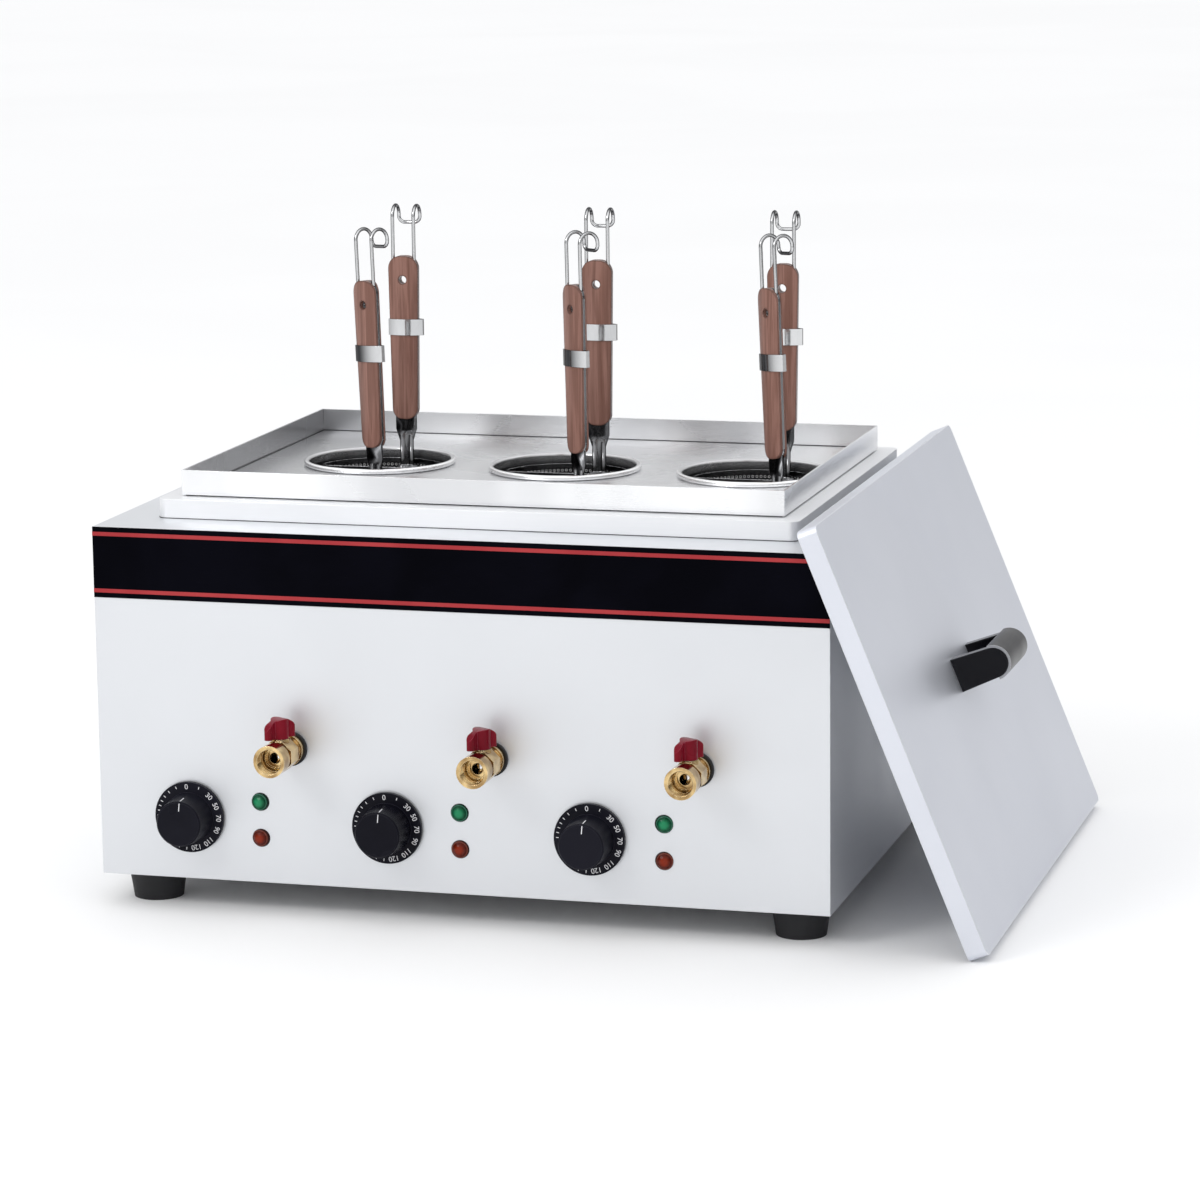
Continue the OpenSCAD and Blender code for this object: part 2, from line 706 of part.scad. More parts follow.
// Rubber washers between the panel and the valves
module valve_washers() {
    color(BLACK) in_frame() for (k = ROW) translate([valve_x(k), front_y, valve_z]) difference() {
        forward(washer_t, washer_d / 2);
        translate([0, cut, 0]) forward(washer_t + 2 * cut, pipe_d / 2 + hole_fit);
    }
}

// Ball valve: nut, waist, eight-sided ball chamber, stem boss with its packing nut, and threaded mouth
chamber_y = 22;
chamber_len = 17;
chamber_wall = 5.2;
chamber_r = ball_d / 2 + chamber_wall;
valve_nut_h = 6;
washer_lip = 1.5;
valve_wall = 1.6;
valve_waist_r = pipe_d / 2 + valve_wall;
mouth_floor = 1.5;
mouth_len = outlet_depth + mouth_floor;
mouth_step_r = 7.2;
mouth_step_depth = 3;
lever_clear = 0.6;
boss_h = mouth_d / 2 + lever_clear;
boss_wall = 2.4;
boss_r = stem_d / 2 + boss_wall;
packing_nut_h = 3.6;
packing_nut_lip = 1.4;
packing_nut_r = boss_r + packing_nut_lip;
module valve_body(k) {
    color(BRASS) in_frame() translate([valve_x(k), front_y - washer_t, valve_z]) difference() {
        union() {
            forward(valve_nut_h, washer_d / 2 - washer_lip);
            forward(valve_len - mouth_len, valve_waist_r);
            translate([0, -chamber_y, 0]) rotate([90, 0, 0]) rotate([0, 0, 22.5])
                cylinder(h = chamber_len, r = chamber_r, center = true, $fn = 8);
            translate([0, -valve_len + mouth_len, 0]) forward(mouth_len, mouth_d / 2);
            translate([0, -chamber_y, 0]) cylinder(h = boss_h, r = boss_r);
            translate([0, -chamber_y, boss_h - packing_nut_h])
                cylinder(h = packing_nut_h, r = packing_nut_r, $fn = 6);
        }
        translate([0, cut, 0]) forward(valve_socket + cut, pipe_d / 2 + hole_fit);
        forward(valve_len + cut, ball_bore_d / 2);
        translate([0, -valve_len + outlet_depth, 0]) forward(outlet_depth + cut, outlet_d / 2);
        translate([0, -valve_len + outlet_depth + mouth_step_depth, 0])
            forward(mouth_step_depth + cut, mouth_step_r);
        translate([0, -chamber_y, 0]) sphere(d = ball_d + 2 * seat_gap);
        translate([0, -chamber_y, 0]) cylinder(h = boss_h + cut, r = stem_d / 2 + run_fit);
    }
}

// Ball and stem that turn with the lever
stem_in_lever = 9;
stem_top = boss_h + seat_gap + stem_in_lever;
module valve_ball(k) {
    color(BRIGHT_STEEL) in_frame()
        translate([valve_x(k), front_y - washer_t - chamber_y, valve_z]) difference() {
            union() {
                sphere(d = ball_d);
                cylinder(h = stem_top, r = stem_d / 2);
            }
            rotate([0, 0, lever_angle - 90]) translate([0, ball_d, 0]) forward(2 * ball_d, ball_bore_d / 2);
        }
}

// Butterfly lever: a hub on the stem, two wings that thicken outwards to round ends, and a crowned top
lever_hub_lip = 0.6;
lever_hub_r = boss_r + lever_hub_lip;
lever_root_t = 4;
lever_tip_t = 5.6;
lever_end_r = 3.3;
module lever(k) {
    drop = lever_h - lever_tip_h;
    half = lever_span / 2;
    crown_r = (half * half + drop * drop) / (2 * drop);
    color([0.52, 0.06, 0.12]) in_frame()
        translate([valve_x(k), front_y - washer_t - chamber_y, valve_z + boss_h + seat_gap])
        rotate([0, 0, lever_angle]) difference() {
            intersection() {
                union() {
                    cylinder(h = lever_h + cut, r = lever_hub_r);
                    linear_extrude(lever_h + cut) polygon([
                        [-half, -lever_tip_t / 2], [0, -lever_root_t / 2], [half, -lever_tip_t / 2],
                        [half, lever_tip_t / 2], [0, lever_root_t / 2], [-half, lever_tip_t / 2]
                    ]);
                    for (sx = [-1, 1])
                        translate([sx * half, 0, 0]) cylinder(h = lever_h + cut, r = lever_end_r);
                }
                // Crown that is highest over the hub
                translate([0, 0, lever_h - crown_r]) rotate([90, 0, 0])
                    cylinder(h = lever_span, r = crown_r, center = true, $fn = 96);
            }
            translate([0, 0, -cut]) cylinder(h = stem_in_lever + cut + seat_gap, r = stem_d / 2 + run_fit);
        }
}

// Controls

// Thermostat cases behind the panel, each with a bushing through it
module thermostats() {
    color([0.2, 0.2, 0.22]) in_frame() for (k = ROW) translate([knob_x(k), panel_in_y, knob_z]) {
        difference() {
            union() {
                translate([-thermostat_w / 2, 0, -thermostat_w / 2])
                    cube([thermostat_w, thermostat_depth, thermostat_w]);
                forward(sheet_t, bushing_r);
            }
            translate([0, spindle_in, 0]) forward(spindle_in + sheet_t + cut, spindle_d / 2 + run_fit);
        }
    }
}

// Spindle of each thermostat
spindle_in = 16;
spindle_out = 16;
module spindle(k) {
    color(BRIGHT_STEEL) in_frame() translate([knob_x(k), panel_in_y + spindle_in - seat_gap, knob_z])
        forward(spindle_in - seat_gap + sheet_t + spindle_out, spindle_d / 2);
}

// Knob: a wide dial, a tapered grip and a dished face
knob_gap = 0.8;
knob_notch_d = 1.6;
knob_notch_h = 3;
module knob(k) {
    edge = 1.2;
    color(BLACK) in_frame() translate([knob_x(k), front_y - knob_gap, knob_z]) difference() {
        union() {
            forward(dial_t, dial_d / 2);
            forward(knob_h - knob_gap - edge, knob_root_d / 2, knob_face_d / 2);
            translate([0, -(knob_h - knob_gap - edge), 0])
                forward(edge, knob_face_d / 2, knob_face_d / 2 - edge);
        }
        translate([0, cut, 0]) forward(spindle_out - knob_gap + seat_gap + cut, spindle_d / 2 + run_fit);
        // Notch in the face's edge that marks the setting
        translate([0, -knob_h + knob_gap, knob_face_d / 2]) rotate([90, 0, 0])
            cylinder(h = knob_notch_h, d = knob_notch_d, center = true, $fn = 24);
    }
}

// One row of pilot lamps: rim and domed lens in front, case and nut behind
lamp_rim_t = 1.6;
lamp_dome = 3;
lamp_case_len = 22;
lamp_nut_h = 4;
lamp_nut_lip = 3;
lamp_nut_r = lamp_hole_d / 2 + lamp_nut_lip;
module lamps(z) {
    dome_r = (pow(lens_d / 2, 2) + lamp_dome * lamp_dome) / (2 * lamp_dome);
    for (k = ROW) translate([lamp_x(k), front_y, z]) {
        forward(lamp_rim_t, lamp_d / 2, lamp_d / 2 - lamp_rim_t / 2);
        intersection() {
            translate([0, -lamp_rim_t - lamp_dome + dome_r, 0]) sphere(dome_r);
            forward(lamp_rim_t + lamp_dome + cut, lens_d / 2);
        }
        translate([0, sheet_t + lamp_case_len, 0]) forward(sheet_t + lamp_case_len, lamp_hole_d / 2);
        translate([0, sheet_t + lamp_nut_h, 0]) rotate([90, 0, 0])
            cylinder(h = lamp_nut_h, r = lamp_nut_r, $fn = 6);
    }
}
module green_lamps() {
    color([0.1, 0.45, 0.25]) in_frame() lamps(green_z);
}
module amber_lamps() {
    color([0.6, 0.25, 0.15]) in_frame() lamps(amber_z);
}

// Terminal block on the base plate
poles = 6;
pole_w = 14;
pole_d = 26;
pole_h = 22;
pole_well_d = 7;
pole_well_depth = 12;
terminal_in = 60;
module terminal_block() {
    color([0.85, 0.84, 0.78]) in_frame()
        translate([0, body_d / 2 - sheet_t - terminal_in, foot_h + sheet_t]) difference() {
            slab(poles * pole_w, pole_d, pole_h);
            for (k = [0:poles - 1], sy = [-1, 1])
                translate([(k - (poles - 1) / 2) * pole_w, sy * pole_d / 4, pole_h - pole_well_depth])
                    cylinder(h = pole_well_depth + cut, d = pole_well_d, $fn = 24);
        }
}

// Strainers

// Flat half-round outline with rounded corners, its straight side at y = split
module half_disc(r, split, corner) {
    cy = split + corner;
    cx = sqrt(pow(r - corner, 2) - cy * cy);
    intersection() {
        circle(r, $fn = 96);
        polygon([
            [cx, cy], [3 * cx, 3 * cy], [3 * cx, 4 * r], [-3 * cx, 4 * r], [-3 * cx, 3 * cy], [-cx, cy]
        ]);
    }
    translate([-cx, split]) square([2 * cx, corner]);
    for (sx = [-1, 1]) translate([sx * cx, cy]) circle(corner);
}

// Half-round basket with a folded rim, open above, its straight side towards the tank's centre
drip_d = 5;
drip_pitch = 13;
drip_in = 11;
drip_edge = 9;
module basket_shell() {
    r = basket_d / 2;
    bead = rim_wire_d / 2;
    difference() {
        union() {
            linear_extrude(basket_h) half_disc(r, basket_split, basket_corner_r);
            translate([0, 0, basket_h - rim_wire_d]) linear_extrude(rim_wire_d)
                half_disc(r + bead / 2, basket_split - bead / 2, basket_corner_r + bead / 2);
        }
        translate([0, 0, basket_t]) linear_extrude(basket_h)
            half_disc(r - basket_t, basket_split + basket_t, basket_corner_r - basket_t);
        // Draining holes through the floor
        for (ix = [-3:3], iy = [0:2])
            let (x = ix * drip_pitch, y = basket_split + drip_in + iy * drip_pitch)
                if (norm([x, y]) < r - drip_edge)
                    translate([x, y, -cut]) cylinder(h = basket_t + 2 * cut, d = drip_d, $fn = 24);
    }
}

// Level of a strainer's foot and the place, turn and lean of its handle
function seat_z(rear) = tank_floor + rest_h + (rear ? rest_step : 0) + seat_gap;
function handle_x(k, rear) = rear ? rear_handle_x[k - 1] : front_handle_x[k - 1];
function handle_y(k, rear) = (rear ? 1 : -1) * sqrt(handle_r * handle_r - pow(handle_x(k, rear), 2));
function handle_turn(k, rear) = rear ? 0 : front_turn[k - 1];
function handle_lean(k, rear) = rear ? 0 : front_lean[k - 1];

// Moves a strainer from its own frame, with its foot at z = 0, into its tank
module in_tank(k, rear) {
    translate([tank_x(k), tank_row_y, seat_z(rear)]) children();
}

// Moves a handle from its own frame, with z = 0 at the basket's rim, onto its basket
module on_handle(k, rear) {
    in_tank(k, rear) translate([handle_x(k, rear), handle_y(k, rear), basket_h])
        rotate([0, 0, handle_turn(k, rear)]) rotate([0, -handle_lean(k, rear), 0]) children();
}

// Steel tang: a strip that flares below the grip and has two prongs, and a core with the grip's own outline
tang_foot = 22;
tang_bracket_depth = 3.4;
tang_bracket_drop = 2;
tang_bracket_half = 9;
tang_neck_w = 8;
tang_shoulder_w = 18;
prong_r = 2;
module tang() {
    neck = tang_neck_w / 2;
    shoulder = tang_shoulder_w / 2;
    flare_z = grip_rise * 0.3;
    shoulder_z = grip_rise * 0.75;
    difference() {
        union() {
            translate([0, tang_t / 2, 0]) rotate([90, 0, 0]) linear_extrude(tang_t) {
                polygon([
                    [-neck, -tang_foot], [neck, -tang_foot], [neck, flare_z], [shoulder, shoulder_z],
                    [shoulder, grip_rise + grip_low_r], [-shoulder, grip_rise + grip_low_r],
                    [-shoulder, shoulder_z], [-neck, flare_z]
                ]);
                translate([0, grip_rise]) grip_outline();
            }
            for (sx = [-1, 1]) translate([sx * neck, 0, -tang_foot])
                cylinder(h = tang_foot + grip_rise * 0.6, r = prong_r, $fn = 32);
        }
        translate([0, 0, grip_rise]) leg_holes();
        translate([0, tang_t, grip_hole_z]) forward(2 * tang_t, grip_hole_d / 2);
    }
}
grip_hole_drop = 20;
grip_hole_z = grip_rise + grip_len - grip_hole_drop;

// Holes down into the grip's upper end for the hook's legs
module leg_holes() {
    for (sx = [-1, 1]) translate([sx * hook_legs / 2, 0, grip_len - hook_sink - seat_gap])
        cylinder(h = hook_sink + seat_gap + cut, r = hook_wire_d / 2 + hole_fit / 2);
}
hook_sink = 30;

// Block on the basket's inside that the tang's prongs are welded to
module tang_bracket(k, rear) {
    reach = basket_d / 2 - basket_t / 2;
    rotate([0, 0, atan2(handle_y(k, rear), handle_x(k, rear))]) translate([0, 0, basket_h - tang_foot])
        linear_extrude(tang_foot - rim_wire_d - tang_bracket_drop) intersection() {
            difference() {
                circle(reach);
                circle(handle_r - tang_bracket_depth);
            }
            wedge(basket_d, tang_bracket_half);
        }
}

// Basket with the tang welded to it
module basket(k, rear) {
    color(BRIGHT_STEEL) in_frame() {
        in_tank(k, rear) {
            rotate([0, 0, rear ? 0 : 180]) basket_shell();
            tang_bracket(k, rear);
        }
        on_handle(k, rear) tang();
    }
}

// Width of the grip at a height above its lower end
function grip_w(z) = grip_low_w + (grip_top_w - grip_low_w) * z / grip_len;

// Outline of a grip, seen from the front: a slight taper with round ends
grip_low_r = 9;
grip_top_r = 11;
module grip_outline() {
    low_x = grip_low_w / 2;
    top_x = grip_top_w / 2;
    top_y = grip_len - grip_top_r;
    translate([-low_x + grip_low_r, 0]) square([2 * (low_x - grip_low_r), grip_low_r]);
    polygon([[-low_x, grip_low_r], [low_x, grip_low_r], [top_x, top_y], [-top_x, top_y]]);
    translate([-top_x + grip_top_r, top_y]) square([2 * (top_x - grip_top_r), grip_top_r]);
    for (sx = [-1, 1]) {
        translate([sx * (low_x - grip_low_r), grip_low_r]) circle(grip_low_r);
        translate([sx * (top_x - grip_top_r), top_y]) circle(grip_top_r);
    }
}

// One crowned wooden scale in front of the tang
module grip_scale() {
    difference() {
        intersection() {
            translate([0, -tang_t / 2, 0]) rotate([90, 0, 0]) linear_extrude(scale_t) grip_outline();
            translate([0, scale_crown_r - tang_t / 2 - scale_t, -cut])
                cylinder(h = grip_len + 2 * cut, r = scale_crown_r, $fn = 96);
        }
        leg_holes();
        translate([0, 0, grip_hole_z - grip_rise]) forward(scale_t * 2, grip_hole_d / 2);
    }
}

// Both wooden scales of a grip
module grip(k, rear) {
    color(WOOD) in_frame() on_handle(k, rear) translate([0, 0, grip_rise]) {
        grip_scale();
        mirror([0, 1, 0]) grip_scale();
    }
}

// Hanging hook: two legs that bend over backwards and join in a flat loop, and the clip round the grip
module hook(k, rear) {
    wire_r = hook_wire_d / 2;
    bend_r = hook_reach / 2;
    leg = hook_h - bend_r - wire_r;
    half_bar = hook_legs / 2 - hook_corner_r;
    color(BRIGHT_STEEL) in_frame() on_handle(k, rear) translate([0, 0, grip_rise]) {
        translate([0, 0, grip_len]) {
            for (sx = [-1, 1]) translate([sx * hook_legs / 2, 0, 0]) {
                translate([0, 0, -hook_sink]) cylinder(h = leg + hook_sink, r = wire_r, $fn = 32);
                translate([0, bend_r, leg]) rotate([90, 0, 90]) rotate_extrude(angle = 180)
                    translate([bend_r, 0]) circle(wire_r, $fn = 32);
                translate([0, hook_reach, leg - hook_tip]) {
                    cylinder(h = hook_tip, r = wire_r, $fn = 32);
                    translate([-sx * hook_corner_r, 0, 0]) rotate([90, 0, 0]) rotate([0, 0, 225 + sx * 45])
                        rotate_extrude(angle = 90) translate([hook_corner_r, 0]) circle(wire_r, $fn = 32);
                }
            }
            translate([-half_bar, hook_reach, leg - hook_tip - hook_corner_r]) rotate([0, 90, 0])
                cylinder(h = 2 * half_bar, r = wire_r, $fn = 32);
        }
        translate([0, 0, grip_len - clip_drop - clip_h / 2]) clip();
    }
}
hook_corner_r = 5;
hook_tip = 1;

// Strip bent round the grip, with an open fold at its right side
clip_fold = 4;
module clip() {
    half_w = grip_w(grip_len - clip_drop + clip_h / 2) / 2 + hole_fit;
    deep = 2 * scale_crown_r;
    linear_extrude(clip_h) difference() {
        intersection() {
            crowned(hole_fit + clip_t);
            translate([-half_w - clip_t, -deep / 2]) square([2 * half_w + clip_fold + clip_t, deep]);
        }
        intersection() {
            crowned(hole_fit);
            translate([-half_w, -deep / 2]) square([2 * half_w + clip_fold - clip_t, deep]);
        }
    }
}

// Section between a grip's two crowned faces, larger all round by a distance
module crowned(out) {
    intersection_for(sy = [-1, 1]) translate([0, sy * (scale_crown_r - tang_t / 2 - scale_t)])
        circle(scale_crown_r + out);
}

// Lid

// Moves the lid from its own frame, flat with its outer face up and its middle at the origin
module leaning() {
    translate([lid_low_x, lid_y, lid_low_z]) rotate([0, 90 - lid_lean, 0]) translate([-lid_w / 2, 0, 0])
        children();
}

// Shallow pan with a turned-down edge and rounded corners
module lid_pan() {
    color(WHITE_STEEL) in_frame() leaning() translate([0, 0, -lid_skirt]) difference() {
        linear_extrude(lid_skirt) round_rect(lid_w, lid_len, lid_corner_r);
        translate([0, 0, -cut]) linear_extrude(lid_skirt - lid_t + cut)
            round_rect(lid_w - 2 * lid_t, lid_len - 2 * lid_t, lid_corner_r - lid_t);
    }
}

// Two moulded legs with round ends
lid_handle_x = -5;
module lid_handle_legs() {
    z = lid_leg_h - lid_leg_r;
    color(BLACK) in_frame() leaning() for (sy = [-1, 1])
        translate([lid_handle_x, sy * lid_handle_span / 2 + lid_leg_t / 2, 0]) rotate([90, 0, 0])
            linear_extrude(lid_leg_t) {
                polygon([[-lid_leg_w / 2, 0], [lid_leg_w / 2, 0], [lid_leg_r, z], [-lid_leg_r, z]]);
                translate([0, z]) circle(lid_leg_r);
            }
}

// Strap that wraps the legs' round ends and bridges them
module lid_handle_strap() {
    z = lid_leg_h - lid_leg_r;
    span = lid_handle_span + lid_leg_t;
    color(BRUSHED_STEEL) in_frame() leaning() translate([lid_handle_x, span / 2, z]) rotate([90, 0, 0])
        linear_extrude(span) difference() {
            circle(lid_leg_r + lid_strap_t);
            circle(lid_leg_r);
            translate([-2 * lid_leg_r, -4 * lid_leg_r]) square(4 * lid_leg_r);
        }
}

base_plate();
body_wrap();
front_panel();
top_plate();
back_cover();
control_band();
band_stripes();
deck();
tray_seal();
tray();
tank(1);  // tank_1
tank(2);  // tank_2
tank(3);  // tank_3
rest_plates();
heaters();
drain_pipes();
valve_body(1);  // valve_body_1
valve_body(2);  // valve_body_2
valve_body(3);  // valve_body_3
valve_washers();
thermostats();
green_lamps();
amber_lamps();
terminal_block();
cable_gland();
feet();
screws();
valve_ball(1);  // valve_ball_1
valve_ball(2);  // valve_ball_2
valve_ball(3);  // valve_ball_3
lever(1);  // lever_1
lever(2);  // lever_2
lever(3);  // lever_3
spindle(1);  // spindle_1
spindle(2);  // spindle_2
spindle(3);  // spindle_3
knob(1);  // knob_1
knob(2);  // knob_2
knob(3);  // knob_3
basket(1, true);  // rear_basket_1
basket(2, true);  // rear_basket_2
basket(3, true);  // rear_basket_3
grip(1, true);  // rear_grip_1
grip(2, true);  // rear_grip_2
grip(3, true);  // rear_grip_3
hook(1, true);  // rear_hook_1
hook(2, true);  // rear_hook_2
hook(3, true);  // rear_hook_3
basket(1, false);  // front_basket_1
basket(2, false);  // front_basket_2
basket(3, false);  // front_basket_3
grip(1, false);  // front_grip_1
grip(2, false);  // front_grip_2
grip(3, false);  // front_grip_3
hook(1, false);  // front_hook_1
hook(2, false);  // front_hook_2
hook(3, false);  // front_hook_3
lid_pan();
lid_handle_legs();
lid_handle_strap();
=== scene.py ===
"""Looks of a countertop pasta cooker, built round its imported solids.

Three round tanks in one tray, two half-round strainers in each tank, a drain valve, a thermostat knob and
two pilot lamps per tank, and the tray's lid leaning on the right side. Metres, X to the right, Y to the back.
"""

import logging
import math
from dataclasses import dataclass, field
from enum import Enum

import bmesh
import bpy
from mathutils import Matrix, Vector


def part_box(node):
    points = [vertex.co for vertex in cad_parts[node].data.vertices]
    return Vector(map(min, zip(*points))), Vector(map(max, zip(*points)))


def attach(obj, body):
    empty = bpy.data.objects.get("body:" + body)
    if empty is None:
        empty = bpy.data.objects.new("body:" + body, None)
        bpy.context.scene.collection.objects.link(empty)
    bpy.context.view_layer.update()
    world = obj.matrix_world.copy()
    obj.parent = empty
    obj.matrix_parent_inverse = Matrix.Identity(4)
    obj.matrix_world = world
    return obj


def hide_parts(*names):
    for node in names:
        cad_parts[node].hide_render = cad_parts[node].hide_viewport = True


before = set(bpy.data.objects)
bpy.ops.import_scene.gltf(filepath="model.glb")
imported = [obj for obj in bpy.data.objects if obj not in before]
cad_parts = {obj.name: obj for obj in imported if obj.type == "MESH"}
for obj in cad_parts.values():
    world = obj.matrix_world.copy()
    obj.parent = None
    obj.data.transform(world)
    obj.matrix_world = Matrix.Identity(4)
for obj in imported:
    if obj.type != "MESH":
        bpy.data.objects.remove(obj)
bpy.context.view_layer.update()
CASING_MIDDLE = sum(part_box("top_plate"), Vector()) / 2

LOG = logging.getLogger("pasta_cooker")
MM = 0.001
ROW = (1, 2, 3)

Colour = tuple[float, float, float]
Point = tuple[float, float, float]
Span = tuple[float, float]

FULL: Span = (0.0, 1.0)
STREAK_NOISE = {"Scale": 1.0, "Detail": 5.0, "Roughness": 0.62}
TONE_NOISE = {"Scale": 1.0, "Detail": 2.0}
SMUDGE_NOISE = {"Detail": 3.0, "Distortion": 0.6}
TONE_SPAN: Span = (0.3, 0.7)
SMUDGE_SPAN: Span = (0.36, 0.68)
GRAIN_SPAN: Span = (0.05, 0.75)
EDGE_SPAN: Span = (0.995, 0.8)
EDGE_SAMPLES = 4
SHARP_TURN = math.radians(35.0)
ROUND_PROFILE = 0.5
RING_STEPS = 48
RING_WELD = 0.002 * MM


class Side(Enum):
    """Which half of a tank a strainer hangs in; the value turns its straight wall to the tank's middle."""

    REAR = 1
    FRONT = -1

    @property
    def word(self) -> str:
        """Gives the side's word in the names of nodes and bodies."""
        return self.name.lower()


class Effect(Enum):
    """Surface effects that several finishes share, each one node group."""

    BRUSHED = "brushed_streaks"
    SMUDGED = "soft_smudges"
    SPECKLED = "fine_speckle"
    # Bevel normal for rounded edges, and an edge mask that carries painted highlight and shade along the
    # edges.
    WORN = "worn_edges"


class Graph:
    """A node tree with short calls for adding and joining nodes."""

    def __init__(self, tree: bpy.types.NodeTree) -> None:
        """Keeps the tree that nodes are added to."""
        self.tree = tree

    def add(self, kind: str, sockets: dict | None = None, **settings: object) -> bpy.types.Node:
        """Adds one node.

        Args:
            kind: Blender's name of the node type.
            sockets: Values, or sockets to link from, by the name or number of the node's input.
            settings: Properties of the node itself.

        Returns:
            The new node.
        """
        node = self.tree.nodes.new(kind)
        for name, value in settings.items():
            setattr(node, name, value)
        for name, value in (sockets or {}).items():
            if isinstance(value, bpy.types.NodeSocket):
                self.tree.links.new(value, node.inputs[name])
            else:
                node.inputs[name].default_value = value
        return node

    def objects_own(self) -> bpy.types.NodeSocket:
        """Gives the object's own coordinates, which here are the frame's."""
        return self.add("ShaderNodeTexCoord").outputs["Object"]

    def ranged(self, source: bpy.types.NodeSocket, ends: Span, to: Span) -> bpy.types.NodeSocket:
        """Maps one range of values onto another, clamped and eased.

        Args:
            source: The values to map.
            ends: Range that is read.
            to: Range that is given out.

        Returns:
            The mapped values.
        """
        return self.add("ShaderNodeMapRange", {"Value": source, "From Min": ends[0], "From Max": ends[1],
                                               "To Min": to[0], "To Max": to[1]},
                        interpolation_type="SMOOTHSTEP").outputs["Result"]

    def mixed(self, share: bpy.types.NodeSocket, first: object, second: object) -> bpy.types.NodeSocket:
        """Mixes two colours.

        Args:
            share: How much of the second colour shows.
            first: A colour, or the socket that gives it.
            second: A colour, or the socket that gives it.

        Returns:
            The mixed colour.
        """
        ends = [c if isinstance(c, bpy.types.NodeSocket) else (*c, 1.0) for c in (first, second)]
        node = self.add("ShaderNodeMix", {0: share, 6: ends[0], 7: ends[1]}, data_type="RGBA")
        return node.outputs[2]

    def from_row(self, middle: Vector, half: float, other: str) -> bpy.types.NodeSocket:
        """Gives the distance from the nearest axis of a row of equal round pieces along X.

        Args:
            middle: A point on the axis in the row's middle.
            half: Half of the row's pitch.
            other: Name of the direction that counts besides X.

        Returns:
            The distance, in metres.
        """
        parts = self.add("ShaderNodeSeparateXYZ", {0: self.objects_own()}).outputs
        across = self.add("ShaderNodeMath", {0: parts["X"], 1: middle.x + half, 2: middle.x - half},
                          operation="WRAP")
        flat = self.add("ShaderNodeCombineXYZ", {"X": across.outputs[0], "Y": parts[other]})
        centre = (middle.x, middle.y if other == "Y" else middle.z, 0.0)
        return self.add("ShaderNodeVectorMath", {0: flat.outputs[0], 1: centre},
                        operation="DISTANCE").outputs["Value"]

    def effect(self, effect: Effect, **values: object) -> bpy.types.Node:
        """Places a shared effect.

        Args:
            effect: Which effect.
            values: The effect's inputs, by name.

        Returns:
            The group node.
        """
        return self.add("ShaderNodeGroup", values, node_tree=shared_effect(effect))


def shared_effect(effect: Effect) -> bpy.types.NodeTree:
    """Builds an effect's node group the first time it is asked for.

    Args:
        effect: Which effect.

    Returns:
        The node group.
    """
    made = bpy.data.node_groups.get(effect.value)
    if made:
        return made
    tree = bpy.data.node_groups.new(effect.value, "ShaderNodeTree")
    graph = Graph(tree)

    def sockets(way: str, kind: str, *names: str) -> None:
        """Adds inputs or outputs of one kind to the group."""
        for name in names:
            tree.interface.new_socket(name, in_out=way, socket_type=f"NodeSocket{kind}")

    if effect is Effect.BRUSHED:
        sockets("INPUT", "Vector", "Stretch", "Broad")
        sockets("OUTPUT", "Float", "Streak", "Tone")
        given = graph.add("NodeGroupInput")
        place = graph.objects_own()
        lines = graph.add("ShaderNodeMapping", {"Vector": place, "Scale": given.outputs["Stretch"]})
        streak = graph.add("ShaderNodeTexNoise", {"Vector": lines.outputs[0], **STREAK_NOISE})
        broad = graph.add("ShaderNodeMapping", {"Vector": place, "Scale": given.outputs["Broad"]})
        tone = graph.add("ShaderNodeTexNoise", {"Vector": broad.outputs[0], **TONE_NOISE})
        given_out = {"Streak": streak.outputs[0], "Tone": graph.ranged(tone.outputs[0], TONE_SPAN, FULL)}
    elif effect is Effect.SMUDGED:
        sockets("INPUT", "Float", "Scale")
        sockets("OUTPUT", "Float", "Smudge")
        given = graph.add("NodeGroupInput")
        cloud = graph.add("ShaderNodeTexNoise", {"Vector": graph.objects_own(), "Scale": given.outputs[0],
                                                 **SMUDGE_NOISE})
        given_out = {"Smudge": graph.ranged(cloud.outputs[0], SMUDGE_SPAN, FULL)}
    elif effect is Effect.SPECKLED:
        sockets("INPUT", "Float", "Scale")
        sockets("OUTPUT", "Float", "Speckle")
        given = graph.add("NodeGroupInput")
        grains = graph.add("ShaderNodeTexVoronoi", {"Vector": graph.objects_own(), "Scale": given.outputs[0]},
                           feature="SMOOTH_F1")
        given_out = {"Speckle": graph.ranged(grains.outputs["Distance"], GRAIN_SPAN, FULL)}
    else:
        sockets("INPUT", "Float", "Radius")
        sockets("OUTPUT", "Float", "Edge")
        sockets("OUTPUT", "Vector", "Normal")
        given = graph.add("NodeGroupInput")
        # The bevel normal rounds the edges; the edge mask carries painted highlight and shade along them.
        rounded = graph.add("ShaderNodeBevel", {"Radius": given.outputs[0]}, samples=EDGE_SAMPLES)
        flat = graph.add("ShaderNodeNewGeometry")
        along = graph.add("ShaderNodeVectorMath", {0: rounded.outputs[0], 1: flat.outputs["Normal"]},
                          operation="DOT_PRODUCT")
        given_out = {"Edge": graph.ranged(along.outputs["Value"], EDGE_SPAN, FULL),
                     "Normal": rounded.outputs[0]}
    graph.add("NodeGroupOutput", given_out)
    return tree


